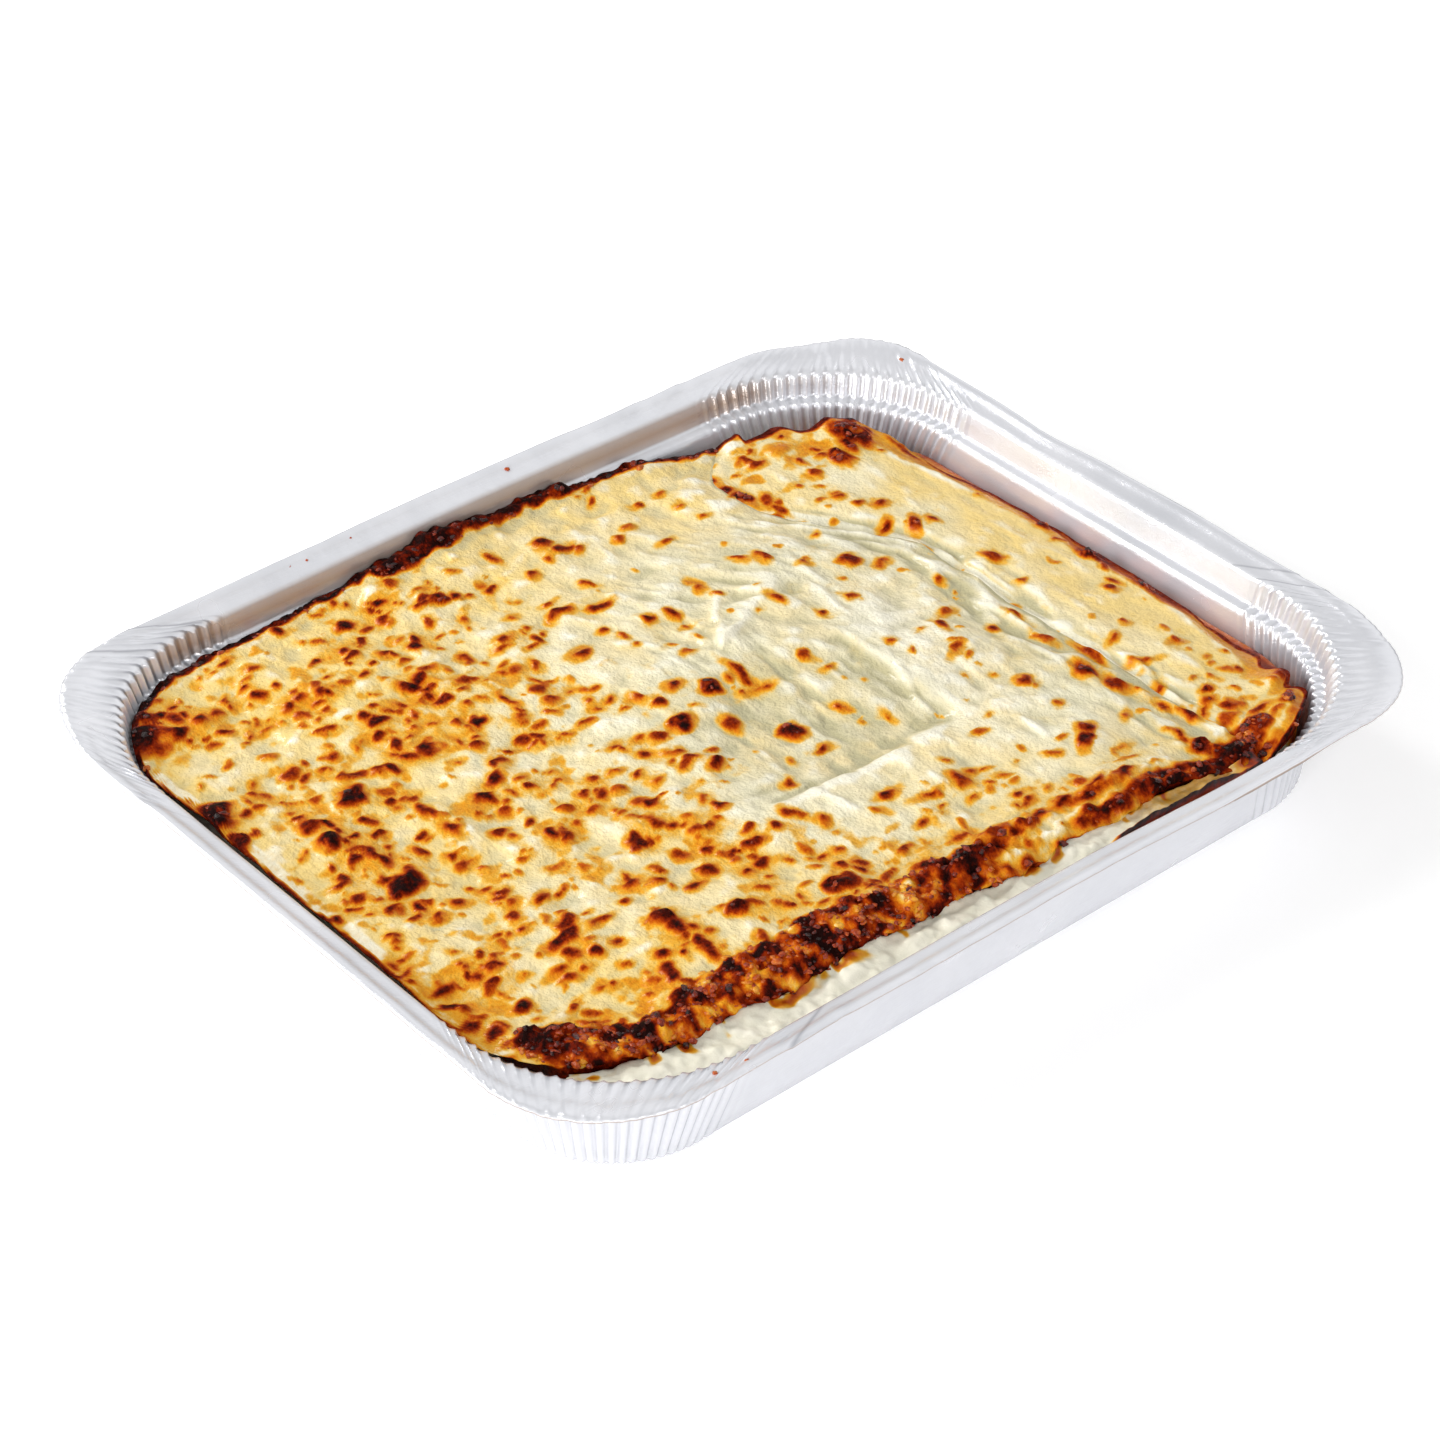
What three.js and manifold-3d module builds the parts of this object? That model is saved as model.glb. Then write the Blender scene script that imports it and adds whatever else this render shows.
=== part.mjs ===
// A baked pasta sheet meal in its foil tray: a pressed foil tray with pleated corners, a bed of
// white sauce, and two browned top sheets whose burnt edges curl against the tray's walls.
// Millimetres, +Z up, tray floor on z = 0, long side along X, origin under the middle.
import * as THREE from 'three';
import Module from 'manifold-3d';

// ---------- driving dimensions ----------

const RIM_LENGTH = 322;
const RIM_WIDTH = 262;
const RIM_HEIGHT = 40;
const RIM_CORNER = 40;
const FLANGE = 9;
const LIP_DROP = 2.8;
const MOUTH_CORNER = 52;
const RIM_BEAD = 1.2;
const LEDGE_HEIGHT = 29.2;
const LEDGE_SLOPE = 0.4;
const LEDGE_OUTER_INSET = 11.3;
const LEDGE_OUTER_CORNER = 50;
const LEDGE_INNER_INSET = 14.3;
const LEDGE_CORNER = 47;
const HEEL_HEIGHT = 3.6;
const HEEL_INSET = 19.6;
const HEEL_CORNER = 35;
const FLOOR_INSET = 24;
const FLOOR_CORNER = 31;
const FOIL = 0.7;

const FLUTES_PER_CORNER = 20;
const FLUTE_PITCH = 4;
const FLUTE_DEPTH = 0.55;
const FADING_FLUTES = 3;
const PLAIN_STEPS = 4;

const GAP = 0.35;
const SHEET_FLOOR = 22;
const THINNEST_EDGE = 0.6;
const BED_HEIGHT = SHEET_FLOOR - GAP;
const SKIRT_HEIGHT = 29.95;
const SKIRT_INSET = 3.8;
const SHEET_FLOOR_INSET = 6.2;
const SIDE_SKIRT_INSET = 2.6;
const SIDE_FLOOR_INSET = 4.8;
const HIDDEN_LEAN = 0.45;

// Slow bends of the soft foil: where on the rim, how far they spread, and how far out they push.
// The first list bows the whole wall, the second only the flange.
const WALL_BENDS = [
  { x: 0, y: 131, spread: 72, out: 1.9 },
  { x: 84, y: -131, spread: 42, out: 2.6 },
];
const FLANGE_BENDS = [
  { x: 161, y: 33, spread: 16, out: -1.8 },
  { x: 161, y: -22, spread: 22, out: 0.8 },
  { x: -151, y: 101, spread: 12, out: -2.4 },
  { x: -159, y: 74, spread: 12, out: 0.8 },
  { x: 138, y: 126, spread: 15, out: -3.6 },
  { x: 156, y: 108, spread: 14, out: 1.6 },
  { x: 155, y: -102, spread: 12, out: -1.4 },
  { x: 136, y: -124, spread: 14, out: 1.8 },
];

// ---------- small maths ----------

const clamp = THREE.MathUtils.clamp;
const lerp = THREE.MathUtils.lerp;

// 0 on one side and 1 on the other, whichever way round the two limits are given.
function ease(from, to, value) {
  const t = clamp((value - from) / (to - from), 0, 1);
  return t * t * (3 - 2 * t);
}

// A round or long mound, 1 at its middle, turned by an angle in degrees.
function mound(x, y, cx, cy, rx, ry = rx, turn = 0) {
  const a = THREE.MathUtils.degToRad(turn);
  const dx = (x - cx) * Math.cos(a) + (y - cy) * Math.sin(a);
  const dy = (y - cy) * Math.cos(a) - (x - cx) * Math.sin(a);
  return Math.exp(-((dx / rx) ** 2) - (dy / ry) ** 2);
}

// ---------- closed skins ----------

function meshFrom(points, faces) {
  const geometry = new THREE.BufferGeometry();
  geometry.setAttribute('position', new THREE.Float32BufferAttribute(points.flat(), 3));
  geometry.setIndex(faces.flat());
  geometry.computeVertexNormals();
  return geometry;
}

// Two triangles for each step between ring a and ring b, which lies outward of or above it.
function band(faces, a, b, count) {
  for (let k = 0; k < count; k += 1) {
    const next = (k + 1) % count;
    faces.push([a + k, a + next, b + k], [a + next, b + next, b + k]);
  }
}

// A skin over rings of equal count, from the middle of the underside, out, up and back in.
function loft(rings) {
  const count = rings[0].length;
  const points = rings.flat();
  const faces = [];
  for (let r = 0; r + 1 < rings.length; r += 1) band(faces, r * count, (r + 1) * count, count);
  const under = points.push([0, 0, rings[0][0][2]]) - 1;
  const over = points.push([0, 0, rings.at(-1)[0][2]]) - 1;
  const last = (rings.length - 1) * count;
  for (let k = 0; k < count; k += 1) {
    const next = (k + 1) % count;
    faces.push([under, next, k], [over, last + k, last + next]);
  }
  return meshFrom(points, faces);
}

// A slab with an uneven top over a grid and a flat underside over a coarser one. place(u, v) gives
// a plan point, lean(u, v, x, y) says which way and how far its sides draw in towards the skirt's
// levels, as they do over a sloping tray wall.
function slab({ columns, rows, coarse, place, top, skirt, lean }) {
  const points = [];
  const faces = [];
  const at = (i, j) => j * (columns + 1) + i;
  for (let j = 0; j <= rows; j += 1) {
    for (let i = 0; i <= columns; i += 1) {
      const [x, y] = place(i / columns, j / rows);
      points.push([x, y, top(x, y)]);
    }
  }
  for (let j = 0; j < rows; j += 1) {
    for (let i = 0; i < columns; i += 1) {
      faces.push([at(i, j), at(i + 1, j), at(i + 1, j + 1)], [at(i, j), at(i + 1, j + 1), at(i, j + 1)]);
    }
  }
  const border = [];
  for (let i = 0; i < columns; i += 1) border.push([i, 0]);
  for (let j = 0; j < rows; j += 1) border.push([columns, j]);
  for (let i = columns; i > 0; i -= 1) border.push([i, rows]);
  for (let j = rows; j > 0; j -= 1) border.push([0, j]);
  const count = border.length;
  const drawIn = ([i, j], { z, inset }) => {
    const [x, y, height] = points[at(i, j)];
    const [leanX, leanY] = lean(i / columns, j / rows, x, y);
    const level = Math.min(z, height - THINNEST_EDGE);
    return points.push([x + leanX * inset, y + leanY * inset, level]) - 1;
  };
  let upper = border.map(([i, j]) => at(i, j));
  for (const level of skirt.slice(0, -1)) {
    const lower = border.map((spot) => drawIn(spot, level));
    for (let k = 0; k < count; k += 1) {
      const next = (k + 1) % count;
      faces.push([lower[k], lower[next], upper[k]], [lower[next], upper[next], upper[k]]);
    }
    upper = lower;
  }
  const [stepI, stepJ] = coarse;
  const floor = new Map();
  const kept = [];
  border.forEach(([i, j], k) => {
    if (i % stepI === 0 && j % stepJ === 0) kept.push(k);
  });
  for (const k of kept) floor.set(border[k].join(), drawIn(border[k], skirt.at(-1)));
  kept.forEach((start, order) => {
    const end = order + 1 < kept.length ? kept[order + 1] : count;
    const here = floor.get(border[start].join());
    const there = floor.get(border[end % count].join());
    const middle = Math.floor((start + end) / 2);
    for (let k = start; k < end; k += 1) {
      faces.push([k < middle ? here : there, upper[(k + 1) % count], upper[k]]);
    }
    faces.push([here, there, upper[middle]]);
  });
  const onFloor = (i, j) => {
    const key = [i, j].join();
    if (!floor.has(key)) floor.set(key, points.push([...place(i / columns, j / rows), skirt.at(-1).z]) - 1);
    return floor.get(key);
  };
  for (let j = 0; j < rows; j += stepJ) {
    for (let i = 0; i < columns; i += stepI) {
      const far = onFloor(i + stepI, j + stepJ);
      faces.push([onFloor(i, j), far, onFloor(i + stepI, j)], [onFloor(i, j), onFloor(i, j + stepJ), far]);
    }
  }
  return meshFrom(points, faces);
}

// The way from a point near the tray's wall straight in from that wall: square to the straight
// stretches, and towards the middle of the arc at a corner.
const ARC_MIDDLE_X = 100;
const ARC_MIDDLE_Y = 72;

function inward(x, y) {
  const nearX = clamp(x, -ARC_MIDDLE_X, ARC_MIDDLE_X);
  const nearY = clamp(y, -ARC_MIDDLE_Y, ARC_MIDDLE_Y);
  const way = new THREE.Vector2(nearX - x, nearY - y).normalize();
  return [way.x, way.y];
}

// ---------- foil tray ----------

// How much of the flutes, the bowed walls and the bent flange each level of the tray takes.
const RIM_FORM = { depth: 0, bow: 1, bend: 1 };
const LIP_FORM = { depth: FLUTE_DEPTH, bow: 1, bend: 0.4 };
const LEDGE_FORM = { depth: FLUTE_DEPTH, bow: 0.85, bend: 0 };
const HEEL_FORM = { depth: FLUTE_DEPTH, bow: 0.1, bend: 0 };
const FLOOR_FORM = { depth: 0, bow: 0, bend: 0 };

function pushOut(bends, x, y) {
  let out = 0;
  for (const bend of bends) out += bend.out * mound(x, y, bend.x, bend.y, bend.spread);
  return out;
}

// One level of the tray: a rounded rectangle set in from the rim, its corners pleated by flutes
// that die out a few pitches along the straight sides.
function trayRing(inset, corner, z, form) {
  const halfX = RIM_LENGTH / 2 - inset;
  const halfY = RIM_WIDTH / 2 - inset;
  const plan = [];
  const add = (x, y, angle, strength) => {
    const side = plan.length % 2 === 0 ? 1 : -1;
    const flute = side * form.depth * strength;
    const rimX = x + inset * Math.cos(angle);
    const rimY = y + inset * Math.sin(angle);
    const bow = form.bow * pushOut(WALL_BENDS, rimX, rimY);
    const push = flute + bow + form.bend * pushOut(FLANGE_BENDS, rimX, rimY);
    plan.push([x + push * Math.cos(angle), y + push * Math.sin(angle), z]);
  };
  for (let q = 0; q < 4; q += 1) {
    const start = (q * Math.PI) / 2;
    const signX = q === 0 || q === 3 ? 1 : -1;
    const signY = q < 2 ? 1 : -1;
    const cx = signX * (halfX - corner);
    const cy = signY * (halfY - corner);
    const arcSteps = 2 * FLUTES_PER_CORNER;
    for (let k = 0; k < arcSteps; k += 1) {
      const angle = start + (k / arcSteps) * (Math.PI / 2);
      add(cx + corner * Math.cos(angle), cy + corner * Math.sin(angle), angle, 1);
    }
    const angle = start + Math.PI / 2;
    const from = new THREE.Vector2(cx + corner * Math.cos(angle), cy + corner * Math.sin(angle));
    const run = 2 * (q % 2 === 0 ? halfX - corner : halfY - corner);
    const along = new THREE.Vector2(-Math.sin(angle), Math.cos(angle));
    const fade = 2 * FADING_FLUTES;
    const fadeRun = FADING_FLUTES * FLUTE_PITCH;
    for (let k = 0; k < fade + PLAIN_STEPS + fade; k += 1) {
      let distance = fadeRun + ((k - fade) / PLAIN_STEPS) * (run - 2 * fadeRun);
      if (k < fade) distance = (k / fade) * fadeRun;
      if (k > fade + PLAIN_STEPS) distance = run - ((2 * fade + PLAIN_STEPS - k) / fade) * fadeRun;
      const nearest = Math.min(distance, run - distance);
      const strength = 1 - ease(0, fadeRun, nearest);
      add(from.x + along.x * distance, from.y + along.y * distance, angle, strength);
    }
  }
  return plan;
}

function foilTray() {
  const lipHeight = RIM_HEIGHT - LIP_DROP;
  const ledgeTop = LEDGE_HEIGHT + LEDGE_SLOPE;
  const under = [
    trayRing(FLOOR_INSET, FLOOR_CORNER, 0, FLOOR_FORM),
    trayRing(HEEL_INSET - FOIL, HEEL_CORNER, HEEL_HEIGHT - FOIL / 2, HEEL_FORM),
    trayRing(LEDGE_INNER_INSET - FOIL, LEDGE_CORNER, LEDGE_HEIGHT - FOIL, LEDGE_FORM),
    trayRing(LEDGE_OUTER_INSET - FOIL, LEDGE_OUTER_CORNER, ledgeTop - FOIL, LEDGE_FORM),
    trayRing(FLANGE - FOIL, MOUTH_CORNER, lipHeight - FOIL, LIP_FORM),
    trayRing(0, RIM_CORNER, RIM_HEIGHT - RIM_BEAD, RIM_FORM),
  ];
  const over = [
    trayRing(0, RIM_CORNER, RIM_HEIGHT, RIM_FORM),
    trayRing(FLANGE, MOUTH_CORNER, lipHeight, LIP_FORM),
    trayRing(LEDGE_OUTER_INSET, LEDGE_OUTER_CORNER, ledgeTop, LEDGE_FORM),
    trayRing(LEDGE_INNER_INSET, LEDGE_CORNER, LEDGE_HEIGHT, LEDGE_FORM),
    trayRing(HEEL_INSET, HEEL_CORNER, HEEL_HEIGHT, HEEL_FORM),
    trayRing(FLOOR_INSET, FLOOR_CORNER, FOIL, FLOOR_FORM),
  ];
  return loft([...under, ...over]);
}

// ---------- plan of the food ----------

const FOOD_LEFT = -147.8;
const FOOD_BACK = 118.4;
const FOOD_CORNER = 48;
const FRONT_CORNER = 38;
const FRONT_CENTRE_Y = -64.5;
const FRONT_SLOPE = 0.046;
const SEAM_X = 101;

// The back edge lies on the ledge, bowed like the wall, and rounds the left corner.
function backEdge(x) {
  const centreX = FOOD_LEFT + FOOD_CORNER;
  const into = Math.min(0, x - centreX);
  const corner = Math.sqrt(Math.max(0, FOOD_CORNER ** 2 - into ** 2));
  const bow = 1.6 * mound(x, 0, -5, 0, 62, 1);
  const crag = 0.8 * ease(-24, -19, x) * ease(37, 32, x);
  const drop = 6.5 * ease(56, 90, x);
  return FOOD_BACK - FOOD_CORNER + corner + bow + crag - drop;
}

// The front edge is the burnt cut edge of the top sheet, short of the front wall.
function frontEdge(x) {
  const centreX = FOOD_LEFT + FRONT_CORNER;
  const into = Math.min(0, x - centreX);
  const corner = Math.sqrt(Math.max(0, FRONT_CORNER ** 2 - into ** 2));
  const slope = Math.max(0, FRONT_SLOPE * (x - centreX));
  const ragged = 0.9 * Math.sin(x / 6.1) + 0.7 * Math.sin(x / 14.3 + 1);
  return FRONT_CENTRE_Y - corner - slope - ragged * ease(-130, -110, x);
}

// The seam where the side sheet laps over the main one.
function seam(y) {
  return SEAM_X - 28 * ease(24, 84, y) + 8 * ease(94, 114, y);
}

// ---------- heights of the food ----------

// Slow swells under the whole crust.
function swell(x, y) {
  return 0.7 * Math.sin(x / 31 + 0.6) * Math.cos(y / 27 - 0.4) + 0.35 * Math.sin((x + 1.4 * y) / 17);
}

// Blisters and crags big enough to feel: place, size and rise of each.
const BIG_BLISTERS = [
  { x: -119, y: -7, r: 9, rise: 1.3 },
  { x: -127, y: 20, r: 8, rise: 1.2 },
  { x: -109, y: 34, r: 8, rise: 1.3 },
  { x: -146, y: 50, r: 8, rise: 1.1 },
  { x: -134, y: 98, r: 8, rise: 1.4 },
  { x: -122, y: 90, r: 7, rise: 0.9 },
  { x: -97, y: 12, r: 8, rise: 1.0 },
  { x: -89, y: 77, r: 8, rise: 0.9 },
  { x: -100, y: -34, r: 10, rise: 1.0 },
  { x: -105, y: -52, r: 10, rise: 1.0 },
  { x: -80, y: -63, r: 7, rise: 1.0 },
  { x: -61, y: -74, r: 7, rise: 0.9 },
  { x: -34, y: -54, r: 9, rise: 0.9 },
  { x: -31, y: -83, r: 7, rise: 1.1 },
  { x: -34, y: 93, r: 9, rise: 1.0 },
  { x: 9, y: 97, r: 7, rise: 1.0 },
  { x: -6, y: 13, r: 9, rise: 1.1 },
  { x: -18, y: 2, r: 10, rise: 1.1 },
  { x: -24, y: -17, r: 7, rise: 0.9 },
  { x: -6, y: 66, r: 9, rise: 0.9 },
  { x: 66, y: 82, r: 7, rise: 1.0 },
  { x: 68, y: -77, r: 8, rise: 1.2 },
];

function blisters(x, y) {
  let rise = 0;
  for (const blister of BIG_BLISTERS) rise += blister.rise * mound(x, y, blister.x, blister.y, blister.r);
  return rise;
}

function mainTop(x, y) {
  let z = 30.4 + swell(x, y) + blisters(x, y);
  // Banked up against the left wall, resting on the ledge there and along the back.
  z += 1.3 * ease(-112, -146, x);
  z += 0.7 * ease(92, 116, y) * ease(70, 30, x);
  // The burnt lump that climbs the back wall.
  z += 2.3 * ease(-24, -19, x) * ease(37, 32, x) * ease(114, 119, y);
  // A sunken patch in the middle, steep at its right and front borders.
  const patch = ease(-38, 6, x) * ease(49, 43, x) * ease(-47.5, -42, y) * ease(26, -12, y);
  z -= 2.3 * patch;
  z += 0.8 * mound(x, y, 8, -51, 42, 6) + 0.7 * mound(x, y, 52, -28, 6, 22);
  // Folds that run out of the patch, and the fall to the seam and to the back right corner.
  z += 0.8 * mound(x, y, 36, 34, 30, 6, 28) - 0.9 * mound(x, y, 22, 44, 26, 5, 48);
  z -= 2.4 * ease(56, 92, x);
  z -= 3.2 * ease(58, 96, x) * ease(64, 112, y);
  z -= 1.3 * ease(7, 2, seam(y) - x);
  // The burnt crest along the front edge, split in two on the right.
  const crest = -94.5 - 0.012 * (x + 100) - 4 * ease(40, 70, x);
  z += 2.0 * mound(x, y, x, crest, 1, 8) * ease(96, 60, x) * (1 + 0.25 * Math.sin(x / 7));
  z -= 1.6 * ease(4, 0, y - frontEdge(x)) * ease(-146, -130, x);
  // The burnt lump in the left front corner.
  z += 1.2 * mound(x, y, -131, -82, 11, 8, -20);
  return z;
}

function sideTop(x, y) {
  // It leaves the main sheet almost flush, then falls gently to the right edge.
  const across = x - seam(y);
  let z = 28.2 + 0.6 * swell(x, y) + 0.6 * ease(1, 14, across);
  z -= 2.0 * ease(104, 136, x);
  // Its two right corners dried and curled up.
  z += 3.4 * mound(x, y, 123, 93, 8, 8) + 1.6 * mound(x, y, 88, 107, 7, 5);
  z += 5.2 * mound(x, y, 130, -96, 9, 10) + 1.6 * mound(x, y, 118, -108, 12, 6, 35);
  // The burnt front end is banked up to the front wall.
  z += 2.6 * ease(-90, -110, y) * ease(136, 116, x);
  z += 0.9 * mound(x, y, 116, 75, 12, 9) + 0.8 * mound(x, y, 95, -104, 10, 7);
  return z;
}

// ---------- top sheets ----------

function mainSheet() {
  const place = (u, v) => {
    const plainX = lerp(FOOD_LEFT, SEAM_X, u);
    const y = lerp(frontEdge(plainX), backEdge(plainX), v);
    return [lerp(FOOD_LEFT, seam(y) - GAP, u), y];
  };
  return slab({
    columns: 44,
    rows: 40,
    coarse: [4, 4],
    place,
    top: mainTop,
    skirt: [
      { z: SKIRT_HEIGHT, inset: SKIRT_INSET },
      { z: SHEET_FLOOR, inset: SHEET_FLOOR_INSET },
    ],
    lean: (u, v, x, y) => {
      if (u === 0 || v === 1) return inward(x, y);
      return u === 1 ? [-HIDDEN_LEAN, 0] : [0, HIDDEN_LEAN];
    },
  });
}

const SIDE_RIGHT = 140.2;
const SIDE_BACK = 109.8;
const SIDE_FRONT = -116;

function sideSheet() {
  const place = (u, v) => {
    const back = SIDE_BACK - 9.5 * ease(0.3, 1, u);
    const front = SIDE_FRONT + 13 * ease(0.5, 1, u);
    const y = lerp(front, back, v);
    const rounding = 8.5 * Math.abs((y - 4) / 104) ** 3.4;
    return [lerp(seam(y) + GAP, SIDE_RIGHT - rounding, u), y];
  };
  return slab({
    columns: 12,
    rows: 40,
    coarse: [4, 4],
    place,
    top: sideTop,
    skirt: [
      { z: SKIRT_HEIGHT, inset: SIDE_SKIRT_INSET },
      { z: SHEET_FLOOR, inset: SIDE_FLOOR_INSET },
    ],
    lean: (u, v, x, y) => {
      if (v === 0) return inward(x, y);
      return u === 0 ? [HIDDEN_LEAN, 0] : [-HIDDEN_LEAN, 0];
    },
  });
}

// ---------- bed of white sauce ----------

const BED_INSET = 1.9;
const BED_POINTS = 48;
const BED_TOP_INSET = LEDGE_INNER_INSET + 1.8 + BED_INSET;
const BED_TOP_CORNER = 43;
const STRIP_LEFT = -135;
const STRIP_HEIGHT = 27.6;
const STRIP_WALL_INSET = 13.9;
const STRIP_LEAN = 5.5;
const STRIP_ROOM = 7;

// The bed's core fills the tray up to the underside of the sheets.
function bedCore() {
  const ring = (inset, corner, z) => {
    const halfX = RIM_LENGTH / 2 - inset;
    const halfY = RIM_WIDTH / 2 - inset;
    const points = [];
    for (let k = 0; k < BED_POINTS; k += 1) {
      const angle = ((k + 0.5) / BED_POINTS) * 2 * Math.PI;
      const cx = Math.sign(Math.cos(angle)) * (halfX - corner);
      const cy = Math.sign(Math.sin(angle)) * (halfY - corner);
      points.push([cx + corner * Math.cos(angle), cy + corner * Math.sin(angle), z]);
    }
    return points;
  };
  return loft([
    ring(FLOOR_INSET + 1, FLOOR_CORNER - 1, FOIL + GAP),
    ring(HEEL_INSET + BED_INSET, HEEL_CORNER - BED_INSET, HEEL_HEIGHT + 2 * GAP),
    ring(BED_TOP_INSET, BED_TOP_CORNER, BED_HEIGHT),
  ]);
}

// The lumpy strip of sauce that shows between the cut edge and the front wall.
function bedStrip() {
  const corner = LEDGE_CORNER - 2;
  const halfX = RIM_LENGTH / 2 - LEDGE_INNER_INSET - BED_INSET;
  const halfY = RIM_WIDTH / 2 - STRIP_WALL_INSET - BED_INSET;
  const wallEdge = (x) => {
    const into = Math.min(0, x + halfX - corner);
    return -(halfY - corner) - Math.sqrt(corner ** 2 - into ** 2);
  };
  const place = (u, v) => {
    const x = lerp(STRIP_LEFT, SEAM_X - 2, u);
    return [x, lerp(wallEdge(x), frontEdge(x) - GAP, v)];
  };
  const top = (x, y) => {
    const lumps = 0.5 * Math.sin(x / 5.3) * Math.cos(y / 3.7) + 0.4 * Math.sin(x / 11.7 + y / 4.1);
    return STRIP_HEIGHT + lumps + 0.8 * ease(-60, -120, x);
  };
  return slab({
    columns: 56,
    rows: 3,
    coarse: [4, 3],
    place,
    top,
    skirt: [{ z: BED_HEIGHT - 3, inset: STRIP_LEAN }],
    lean: (u, v, x, y) => {
      if (v > 0) return [0, 0];
      const room = clamp((frontEdge(x) - y - 2) / STRIP_ROOM, 0.1, 1);
      return inward(x, y).map((part) => part * room);
    },
  });
}

function solidFrom(wasm, geometry) {
  const mesh = new wasm.Mesh({
    numProp: 3,
    vertProperties: new Float32Array(geometry.getAttribute('position').array),
    triVerts: new Uint32Array(geometry.getIndex().array),
  });
  return new wasm.Manifold(mesh);
}

function geometryFrom(solid) {
  const mesh = solid.getMesh();
  const geometry = new THREE.BufferGeometry();
  geometry.setAttribute('position', new THREE.BufferAttribute(new Float32Array(mesh.vertProperties), 3));
  geometry.setIndex(new THREE.BufferAttribute(new Uint32Array(mesh.triVerts), 1));
  geometry.computeVertexNormals();
  return geometry;
}

function sauceBed(wasm) {
  const core = solidFrom(wasm, bedCore());
  const strip = solidFrom(wasm, bedStrip());
  return geometryFrom(core.add(strip));
}

// ---------- materials ----------

function foilMaterial() {
  return new THREE.MeshStandardMaterial({ color: 0xdfe0e4, roughness: 0.32, metalness: 0.9 });
}

function sauceMaterial() {
  return new THREE.MeshStandardMaterial({ color: 0xefe3bd, roughness: 0.45, metalness: 0 });
}

function crustMaterial() {
  return new THREE.MeshStandardMaterial({ color: 0xe6cf95, roughness: 0.5, metalness: 0 });
}

// ---------- the meal ----------

const wasm = await Module();
wasm.setup();

const meal = new THREE.Group();

function addPiece(name, geometry, material) {
  const piece = new THREE.Mesh(geometry, material);
  piece.name = name;
  meal.add(piece);
}

addPiece('foil_tray', foilTray(), foilMaterial());
addPiece('sauce_bed', sauceBed(wasm), sauceMaterial());
addPiece('main_sheet', mainSheet(), crustMaterial());
addPiece('side_sheet', sideSheet(), crustMaterial());

export default meal;
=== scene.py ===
import math

import bmesh
import bpy
import numpy as np
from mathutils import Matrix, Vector


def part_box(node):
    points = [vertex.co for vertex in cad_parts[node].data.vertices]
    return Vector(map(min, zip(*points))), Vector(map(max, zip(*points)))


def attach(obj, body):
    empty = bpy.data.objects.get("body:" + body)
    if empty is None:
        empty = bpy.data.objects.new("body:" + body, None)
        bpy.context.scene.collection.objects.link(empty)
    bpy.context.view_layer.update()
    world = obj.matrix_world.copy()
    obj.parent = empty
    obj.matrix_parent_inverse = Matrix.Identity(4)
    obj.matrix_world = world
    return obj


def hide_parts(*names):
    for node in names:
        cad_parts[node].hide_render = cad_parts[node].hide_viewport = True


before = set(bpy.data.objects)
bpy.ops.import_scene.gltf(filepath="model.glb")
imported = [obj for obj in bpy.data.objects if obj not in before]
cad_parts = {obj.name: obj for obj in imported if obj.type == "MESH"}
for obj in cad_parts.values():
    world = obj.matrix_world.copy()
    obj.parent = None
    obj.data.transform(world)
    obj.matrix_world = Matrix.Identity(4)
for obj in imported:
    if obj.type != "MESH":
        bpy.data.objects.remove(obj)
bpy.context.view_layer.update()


# ---------------------------------------------------------------------------- foil tray
# One blank of soft aluminium foil, pressed in a single stroke. Its straight walls come out plain,
# the spare metal of the corners gathers into pleats, and the flange ends in a hem rolled under.

MM = 0.001
RIM_LENGTH = 322
RIM_WIDTH = 262
TRAY_LOW, TRAY_HIGH = (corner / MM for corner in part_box("foil_tray"))
BOX_SLACK = 0.02
FLUTES_PER_CORNER = 20
FLUTE_PITCH = 4.0
FLUTE_DEPTH = 0.62
FADING_FLUTES = 3
FADE_RUN = FADING_FLUTES * FLUTE_PITCH
STEPS_PER_FLUTE = 14
PLAIN_STEPS = 90

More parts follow.
